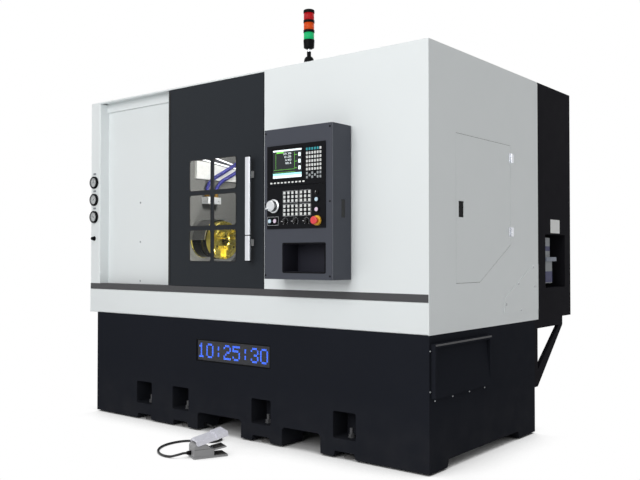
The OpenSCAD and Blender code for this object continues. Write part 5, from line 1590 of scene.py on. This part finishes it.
@dataclass
class Chamber:
    """What shows behind the panes: hoses and unions, lamp tubes, the guard's skin and the chuck's trim."""

    hose_r: float = 0.0138
    ridge: float = 0.0010
    ridge_pitch: float = 0.010
    fitting_x: float = -0.657
    fitting_y: Pair = (0.438, 0.521)
    fitting_top: float = 1.506
    wall_y: float = 1.100
    hose_out: tuple[float, ...] = (0.0, 0.001, 0.005, 0.010, 0.014, 0.017, 0.019, 0.020, 0.020, 0.020)
    hose_shares: tuple[float, ...] = (0.0, 0.0016, 0.0185, 0.058, 0.117, 0.22, 0.377, 0.564, 0.80, 0.999)
    hose_rises: tuple[tuple[float, ...], ...] = (
        (0.0006, 0.025, 0.060, 0.0915, 0.117, 0.153, 0.211, 0.273, 0.332, 0.336),
        (0.0006, 0.019, 0.047, 0.075, 0.099, 0.130, 0.178, 0.226, 0.2715, 0.275))
    union: tuple[Pair, ...] = (
        (0.0142, 0.0), (0.0180, 0.0), (0.0180, 0.0125), (0.0160, 0.0145), (0.0160, 0.027), (0.0148, 0.0305),
        (0.0142, 0.0305))
    union_below: float = 0.030
    wall_nut: tuple[Pair, ...] = ((0.0142, 0.0), (0.022, 0.0), (0.022, 0.008), (0.018, 0.010), (0.018, 0.03),
                                  (0.0142, 0.03))
    tube_lines: tuple[tuple[Pair, Pair], ...] = (
        ((0.36, 1.736), (0.80, 1.686)), ((0.36, 1.782), (0.80, 1.701)))
    tube_r: float = 0.0045
    tube_proud: float = 0.0075
    trough_margin: Pair = (0.0, 0.008)
    trough_t: float = 0.003
    guard_r: float = 0.1412
    guard_skin: float = 0.0015
    guard_lap: float = 0.004
    guard_x: Pair = (-0.640, -0.5205)
    band_x: Pair = (0.006, 0.045)
    band_proud: Pair = (0.0001, 0.0009)
    band_bevel: Pair = (0.0006, 0.001)
    ring: tuple[Pair, ...] = ((0.1172, 0), (0.1195, 0.001), (0.1195, 0.008), (0.1172, 0.009))
    ring_behind: float = 0.1125
    nose_plate: tuple[Pair, ...] = ((0.1176, 0), (0.1369, 0), (0.1369, 0.003), (0.1176, 0.003))
    bolt: tuple[Pair, ...] = ((0, 0.004), (0.004, 0.004), (0.0045, 0.009), (0.0078, 0.009), (0.0083, 0.008),
                              (0.0083, 0))
    bolt_angles: Triple = (90, 210, 330)
    bolt_share: float = 0.72
    bolt_sink: float = 0.014

    def build(self) -> None:
        """Make the hoses, the brass, the chuck's trim, the guard's skin and the lamp tubes."""
        self.build_hoses()
        self.build_fittings()
        self.build_chuck()
        self.build_guard()
        self.build_tubes()

    def routes(self) -> list[Array]:
        """The hoses' points: shares of the way from a fitting to the back wall, with their rises.

        Returns:
            One array of points for each hose.
        """
        out, share = np.array(self.hose_out), np.array(self.hose_shares)
        return [np.stack([self.fitting_x + out, FRONT_Y + y + share * (self.wall_y - y),
                          self.fitting_top + np.array(rise)], axis=-1)
                for y, rise in zip(self.fitting_y, self.hose_rises)]

    def build_hoses(self) -> None:
        """Corrugated hoses: the radius swells and sinks evenly along each route."""
        skins = []
        for points in self.routes():
            path, where = along(smooth_path(points, 12), self.ridge_pitch / 6)
            radius = self.hose_r - self.ridge + self.ridge * np.cos(2 * math.pi * where / self.ridge_pitch)
            skins.append(tube(path, radius, 14))
        made = piece("corrugated_hoses", joined(skins), Coat.hose, crease=80)
        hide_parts("coolant_hoses")

    def build_fittings(self) -> None:
        """Brass unions on the coolant block, and unions where the hoses enter the back wall."""
        union, nut = revolved(self.union, 24, closed=True), revolved(self.wall_nut, 24, closed=True)
        foot = self.fitting_top - self.union_below
        unions = [union.moved(spot(self.fitting_x, y, foot)) for y in self.fitting_y]
        nuts = [nut.facing(Side.FRONT, points[-1]) for points in self.routes()]
        piece("brass_unions", joined(unions + nuts), Coat.brass)

    def build_chuck(self) -> None:
        """The black band round the chuck's rear, the ring and plate behind it, and the bolts in its face."""
        rear, radius = low("chuck_body")[0], size("chuck_body")[2] / 2
        (start, end), (seat, proud) = self.band_x, radius + np.array(self.band_proud)
        first, last = start + self.band_bevel[0], end - self.band_bevel[1]
        profile = [(seat, start), (proud, first), (proud, last), (seat, end)]
        strap = revolved(profile, 96, closed=True)
        piece("chuck_rear_band", strap.facing(Side.RIGHT, on_axis(rear)), Coat.collar, "spindle")
        ring = revolved(self.ring, 72, closed=True).facing(Side.RIGHT, on_axis(rear - self.ring_behind))
        piece("collar_ring", ring, Coat.gold, "spindle")
        cover = revolved(self.nose_plate, 72, closed=True).facing(Side.RIGHT, on_axis(low("work_light")[0]))
        piece("spindle_nose_plate", cover, Coat.liner)
        turns, reach = np.radians(self.bolt_angles), radius * self.bolt_share
        bolts = revolved(self.bolt, 20).at(reach * np.stack([np.cos(turns), np.sin(turns)], axis=-1))
        bolts = bolts.facing(Side.RIGHT, on_axis(high("chuck_body")[0] - self.bolt_sink))
        piece("chuck_bolts", bolts, Coat.collar, "spindle")

    def build_guard(self) -> None:
        """A dark skin over the chuck's guard, and the bright edge at its open end."""
        axis = on_axis(0.0)
        (start, end), seat, outer = self.guard_x, self.guard_r, self.guard_r + self.guard_skin
        skin = arched([(seat, start), (outer, start), (outer, end), (seat, end)], 0.0, math.pi)
        piece("guard_skin", skin.moved(axis), Coat.guard, crease=60)
        inner, tip = seat - self.guard_lap, end + self.guard_skin
        edge = arched([(inner, end), (outer, end), (outer, tip), (inner, tip)], 0.0, math.pi)
        piece("guard_edge", edge.moved(axis), Coat.wheel, crease=60)

    def build_tubes(self) -> None:
        """Two slim lamp tubes on a grey trough across the light panel."""
        wall = high("work_light")[0]
        ends = [np.array([spot(wall + self.tube_proud, y, z) for y, z in line]) for line in self.tube_lines]
        tubes = [tube(along(pair, 0.02)[0], self.tube_r, 14) for pair in ends]
        piece("lamp_tubes", joined(tubes), Coat.lamp_tube)
        lower, upper = np.array(self.tube_lines)
        outline = np.concatenate([lower - self.trough_margin, (upper + self.trough_margin)[::-1]])
        trough = plate(outline, self.trough_t).facing(Side.RIGHT, spot(wall, 0, 0))
        piece("lamp_trough", trough, Coat.rail)


@dataclass
class BaseDressing:
    """The chip hood's lip, lighter than the hood as a painted highlight along its top edge, and the screws of
    the hood and the base.
    """

    highlight_h: float = 0.009
    lip_t: float = 0.0015
    highlight_inset: float = 0.006
    screw: Pair = (0.0045, 0.003)
    hood_screw_y: tuple[float, ...] = (0.051, 0.227, 0.404, 0.575)
    hood_screw_below: float = 0.015
    base_screws: tuple[Pair, ...] = ((0.008, 0.606), (0.008, 0.408))

    def build(self) -> None:
        """Make the hood's lip with its painted highlight, and the screws."""
        _, wide, tall = size("chip_hood")
        centre = np.array([high("chip_hood")[0], *middle("chip_hood")[1:]])
        # painted highlight: the lip's lighter grey stands in for light along the hood's top edge
        lip = slab((wide - self.highlight_inset, self.highlight_h, self.lip_t), corner=0.003, bevel=0.0006)
        lip = lip.moved((0, tall / 2 - self.highlight_inset, 0))
        piece("hood_lip_highlight", lip.facing(Side.RIGHT, centre), Coat.rail)
        foot = low("chip_hood")[2] - self.hood_screw_below
        heads = screw_head(*self.screw).at([(y, foot) for y in self.hood_screw_y] + list(self.base_screws))
        piece("hood_screws", heads.facing(Side.RIGHT, spot(RIGHT_X, 0, 0)), Coat.zinc)


@dataclass(frozen=True)
class Strap:
    """A closed band round the lubricator: its outline, its reach out and in, its height and its place."""

    name: str
    outline: Triple
    out: float
    wall: float
    height: float
    place: Triple
    finish: Finish
    slot: str

    def build(self, base: Array) -> None:
        """Make the band.

        Args:
            base: the lubricator's own origin.
        """
        outline = rounded_outline(*self.outline, 6)
        skin = band(inset(outline, -self.out), inset(outline, self.wall), self.height)
        piece(self.name, skin.moved(base + self.place), self.finish)


@dataclass
class RearCabinet:
    """The lubricator's parts, and the cabinet's door, locks, louvres and plate."""

    lubricator_origin: Triple = (0.0, 0.002, -0.028)
    straps: tuple[Strap, ...] = (
        Strap("pump_band", (0.1006, 0.1246, 0.0143), 0.0, 0.001, 0.030, (0.055, 0.068, 0.232),
              Coat.blue_plastic, "hose_blue"),
        Strap("tray_rim", (0.1288, 0.1688, 0.0104), 0.0, 0.0036, 0.026, (0.069, 0.082, 0.1665), Coat.tray,
              "pale_plastic"),
        Strap("reservoir_wall", (0.1086, 0.1406, 0.0183), 0.0, 0.001, 0.138, (0.059, 0.080, 0.0295),
              Coat.grey_plastic, "pale_plastic"),
        Strap("oil_level", (0.1086, 0.1406, 0.0183), 0.0006, 0.0, 0.070, (0.059, 0.080, 0.032),
              Coat.blue_plastic, "hose_blue"))
    cap: tuple[Pair, ...] = ((0, 0.0235), (0.011, 0.0235), (0.0148, 0.020), (0.0148, 0.002), (0.0142, 0.0))
    cap_place: Triple = (0.058, 0.150, 0.190)
    door_inset: float = 0.05
    door_t: float = 0.004
    lock: tuple[Pair, ...] = (
        (0, 0.006), (0.006, 0.006), (0.007, 0.009), (0.016, 0.009), (0.018, 0.006), (0.018, 0))
    lock_inset: Pair = (0.07, 0.22)
    slat: Triple = (0.26, 0.012, 0.006)
    slat_pitch: float = 0.022
    slats: int = 8
    vent_from_top: float = 0.16
    vent_from_foot: float = 0.30
    tag: Triple = (0.146, 0.086, 0.001)
    tag_y: float = 1.554
    tag_z: float = 1.258

    def build(self) -> None:
        """Make the cabinet's fittings."""
        self.build_lubricator()
        self.build_back()

    def build_lubricator(self) -> None:
        """The pump's blue band, the tray's rim, the reservoir with its oil level, and the filler cap; the
        rim's grey and the bands' blue are darkened as painted shade of the recess.
        """
        base = low("lubricator") + self.lubricator_origin
        for strap in self.straps:
            strap.build(base)
        cap = revolved(self.cap, 28).moved(base + self.cap_place)
        piece("filler_cap", cap, Coat.black)

    def build_back(self) -> None:
        """The cabinet door's skin, its locks and louvres on the back, and the bare plate on the side."""
        wide, _, tall = size("electrical_cabinet")
        back = middle("electrical_cabinet")
        back[1] = high("electrical_cabinet")[1]
        box = (wide - self.door_inset, tall - self.door_inset, self.door_t)
        door = slab(box, corner=0.012, bevel=0.0015)
        piece("cabinet_door_skin", door.facing(Side.BACK, back), Coat.cabinet)
        out = back + at_depth(self.door_t)
        aside, up = wide / 2 - self.lock_inset[0], tall / 2 - self.lock_inset[1]
        locks = revolved(self.lock, 28).at([(aside, z) for z in (-up, 0.0, up)])
        piece("cabinet_locks", locks.facing(Side.BACK, out), Coat.zinc)
        starts = (tall / 2 - self.vent_from_top, -tall / 2 + self.vent_from_foot)
        rows = [(0.0, start - self.slat_pitch * k) for start in starts for k in range(self.slats)]
        louvres = slab(self.slat, corner=0.005, bevel=0.003).at(rows)
        piece("cabinet_louvres", louvres.facing(Side.BACK, out), Coat.cabinet)
        tag = slab(self.tag, corner=0.004, bevel=0.0003)
        tag = tag.facing(Side.RIGHT, spot(RIGHT_X, self.tag_y, self.tag_z))
        piece("bare_plate", tag, Coat.white_plastic)


@dataclass
class FootSwitch:
    """The treadle's pad, the base's mat, the block's joint, and the lead that runs to the machine."""

    x: float = 0.231
    y: float = -0.385
    turn: float = math.radians(64.7)
    treadle_tilt: float = math.radians(9.0)
    treadle_pin: Triple = (0.004, 0, 0.036)
    pad: Triple = (0.060, 0.072, 0.0025)
    pad_place: Triple = (0.052, 0, 0.0046)
    rib: Triple = (0.0028, 0.064, 0.0016)
    rib_x: Pair = (0.026, 0.078)
    rib_z: float = 0.0070
    ribs: int = 11
    mat: Triple = (0.086, 0.084, 0.002)
    mat_place: Triple = (0.050, 0, 0.010)
    joint: Triple = (0.098, 0.0972, 0.0014)
    joint_place: Triple = (-0.041, 0, 0.0475)
    lead_d: float = 0.0125
    lead_steps: int = 12
    route: tuple[Triple, ...] = (
        (0.178, -0.4738, 0.025), (0.1711, -0.4883, 0.025), (0.1643, -0.5028, 0.025), (0.148, -0.526, 0.019),
        (0.112, -0.544, 0.009), (0.060, -0.546, 0.0065), (0.0, -0.526, 0.0065), (-0.060, -0.482, 0.0065),
        (-0.106, -0.416, 0.0065), (-0.124, -0.34, 0.0065), (-0.11, -0.262, 0.0065), (-0.062, -0.212, 0.0065),
        (0.004, -0.196, 0.0065), (0.044, -0.150, 0.0065), (0.026, -0.088, 0.0065), (-0.038, -0.050, 0.0065),
        (-0.100, -0.012, 0.0065), (-0.146, 0.032, 0.010), (-0.190, 0.056, 0.022), (-0.231, 0.062, 0.030),
        (-0.247, 0.062, 0.030), (-0.263, 0.062, 0.030))

    def own_axes(self) -> Array:
        """The switch's own X, Y and Z directions as rows."""
        c, s = math.cos(self.turn), math.sin(self.turn)
        return np.array([[c, s, 0], [-s, c, 0], [0, 0, 1]])

    def build_lead(self) -> None:
        """The plain round lead along its route."""
        path = smooth_path(np.array(self.route) + at_depth(FRONT_Y), self.lead_steps)
        skin = tube(path, self.lead_d / 2, 20)
        made = piece("foot_switch_lead", skin, Coat.sheath, crease=80)
        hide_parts("pedal_cord")

    def build(self) -> None:
        """Make the treadle's ribbed pad, the base's mat and the block's joint."""
        axes, origin = self.own_axes(), spot(self.x, self.y, 0)
        c, s = math.cos(self.treadle_tilt), math.sin(self.treadle_tilt)
        lean = np.array([[c, 0, s], [0, 1, 0], [-s, 0, c]])
        pad = slab(self.pad, corner=0.004, bevel=0.0008).moved(self.pad_place)
        rib = slab(self.rib, corner=0.001, bevel=0.0006).moved((0, 0, self.rib_z))
        tread = joined([pad, rib.at([(x, 0) for x in np.linspace(*self.rib_x, self.ribs)])])
        pin = origin + np.array(self.treadle_pin) @ axes
        piece("treadle_pad", tread.turned(lean @ axes, pin), Coat.pad, "treadle")
        mat = slab(self.mat, corner=0.006, bevel=0.0008).moved(self.mat_place)
        piece("base_mat", mat.turned(axes, origin), Coat.pad)
        seam = slab(self.joint).moved(self.joint_place)
        piece("block_joint", seam.turned(axes, origin), Coat.mark_dark)


@dataclass(frozen=True)
class Softbox:
    """A large square lamp aimed at a point: its place, aim, side in metres and power in watts."""

    name: str
    place: Triple
    aim: Triple
    side: float
    power: float

    def build(self) -> None:
        """Hang the lamp."""
        data = bpy.data.lights.new(self.name, "AREA")
        data.size = self.side
        data.energy = self.power
        way = Vector(self.aim) - Vector(self.place)
        placed(self.name, data).matrix_world = Matrix.Translation(self.place) @ facing_along(way)


def facing_along(way: Vector) -> Matrix:
    """The turn that points a lamp or a camera along a way, with its top up."""
    return way.to_track_quat("-Z", "Y").to_matrix().to_4x4()


@dataclass
class Studio:
    """The floor, the light and the camera."""

    camera_at: Triple = (3.378, -3.354, 1.070)
    azimuth: float = math.radians(38.70)
    pitch: float = math.radians(1.03)
    lens: float = 44.79
    shift_y: float = 0.0026
    world_light: float = 0.31
    floor_size: float = 60.0
    floor_tones: Pair = (0.68, 0.72)
    shadow_reach: float = 0.45
    shadow_span: Pair = (0.25, 0.72)
    lamps: tuple[Softbox, ...] = (
        Softbox("key", (1.0, -6.5, 3.6), (0.2, 0.0, 1.1), 4.0, 232.0),
        Softbox("fill", (6.5, -1.0, 3.4), (0.6, 0.0, 1.1), 4.0, 27.0),
        Softbox("top", (0.0, 0.0, 6.5), (0.0, 0.0, 0.0), 5.0, 110.0),
        Softbox("back", (0.0, 6.5, 4.0), (0.0, 0.5, 1.0), 4.0, 90.0),
        Softbox("chamber", tuple(spot(0.15, 0.30, 1.95)), tuple(spot(-0.55, 0.45, 1.25)), 0.25, 8.5),
        Softbox("chamber_low", tuple(spot(-0.28, 0.16, 0.96)), tuple(spot(-0.687, 0.40, 1.10)), 0.2, 2.6))

    def build_camera(self) -> None:
        """The photograph's camera."""
        data = bpy.data.cameras.new("camera")
        data.sensor_width = 36.0
        data.lens = self.lens
        data.shift_y = self.shift_y
        data.clip_end = 200.0
        camera = placed("camera", data)
        level = math.cos(self.pitch)
        look = Vector((-math.sin(self.azimuth) * level, math.cos(self.azimuth) * level, math.sin(self.pitch)))
        camera.matrix_world = Matrix.Translation(spot(*self.camera_at)) @ facing_along(look)
        bpy.context.scene.camera = camera

    def build_world(self) -> None:
        """A white surround that the camera and reflections see, and a softer light from it."""
        world = bpy.data.worlds.new("studio")
        bpy.context.scene.world = world
        world.use_nodes = True
        nodes, links = world.node_tree.nodes, world.node_tree.links
        rays = nodes.new("ShaderNodeLightPath")
        seen = rays.outputs["Is Camera Ray"]
        for kind in ("Is Glossy Ray", "Is Transmission Ray"):
            either = nodes.new("ShaderNodeMath")
            either.operation = "MAXIMUM"
            links.new(seen, either.inputs[0])
            links.new(rays.outputs[kind], either.inputs[1])
            seen = either.outputs["Value"]
        level = nodes.new("ShaderNodeMapRange")
        level.inputs["To Min"].default_value = self.world_light
        level.inputs["To Max"].default_value = 1.0
        links.new(seen, level.inputs["Value"])
        background = nodes["Background"]
        background.inputs["Color"].default_value = (1.0, 1.0, 1.0, 1.0)
        links.new(level.outputs["Result"], background.inputs["Strength"])

    def build_floor(self) -> None:
        """A pale floor: it takes the shadow where something stands close over it, and is white elsewhere."""
        mesh = bpy.data.meshes.new("floor")
        mesh.from_pydata(flat(rectangle(self.floor_size, self.floor_size), 0.0), [], [(0, 1, 2, 3)])
        floor = placed("floor", mesh)
        sheet = NodeSheet("studio_floor")
        sheet.set(Roughness=0.9, Specular_IOR_Level=0.1)
        dark, pale = ((tone, tone, tone, 1) for tone in self.floor_tones)
        sheet.join(sheet.blend(sheet.noise(0.8, 3.0), dark, pale), "Base Color")
        white = sheet.nodes.new("ShaderNodeEmission")
        rays = sheet.nodes.new("ShaderNodeLightPath")
        near = sheet.nodes.new("ShaderNodeAmbientOcclusion")
        near.samples = 8
        near.inputs["Distance"].default_value = self.shadow_reach
        seen = sheet.math("MAXIMUM", rays.outputs["Is Camera Ray"], rays.outputs["Is Glossy Ray"])
        seen = sheet.math("MAXIMUM", seen, rays.outputs["Is Transmission Ray"])
        open_floor = sheet.span(near.outputs["AO"], *self.shadow_span, 0.0, 1.0)
        mix = sheet.nodes.new("ShaderNodeMixShader")
        sheet.links.new(sheet.math("MULTIPLY", open_floor, seen), mix.inputs[0])
        sheet.links.new(sheet.shader.outputs[0], mix.inputs[1])
        sheet.links.new(white.outputs[0], mix.inputs[2])
        sheet.links.new(mix.outputs[0], sheet.nodes["Material Output"].inputs["Surface"])
        mesh.materials.append(sheet.material)

    def build(self) -> None:
        """Light the machine softly from the front, the right, above and behind, and inside the chamber."""
        bpy.context.scene.view_settings.view_transform = "Standard"
        self.build_world()
        self.build_floor()
        for lamp in self.lamps:
            lamp.build()


def main() -> None:
    """Build every sub-assembly in order."""
    logging.basicConfig(level=logging.INFO, format="%(name)s: %(message)s")
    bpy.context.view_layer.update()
    studio = Studio()
    studio.build_camera()
    foot_switch = FootSwitch()
    foot_switch.build_lead()
    paint_nodes()
    for part in (foot_switch, Covers(), SlidingDoor(), ControlBox(), Gauges(), SignBoard(), SignalLamp(),
                 Chamber(), BaseDressing(), RearCabinet(), studio):
        part.build()


if __name__ == "__main__":
    main()
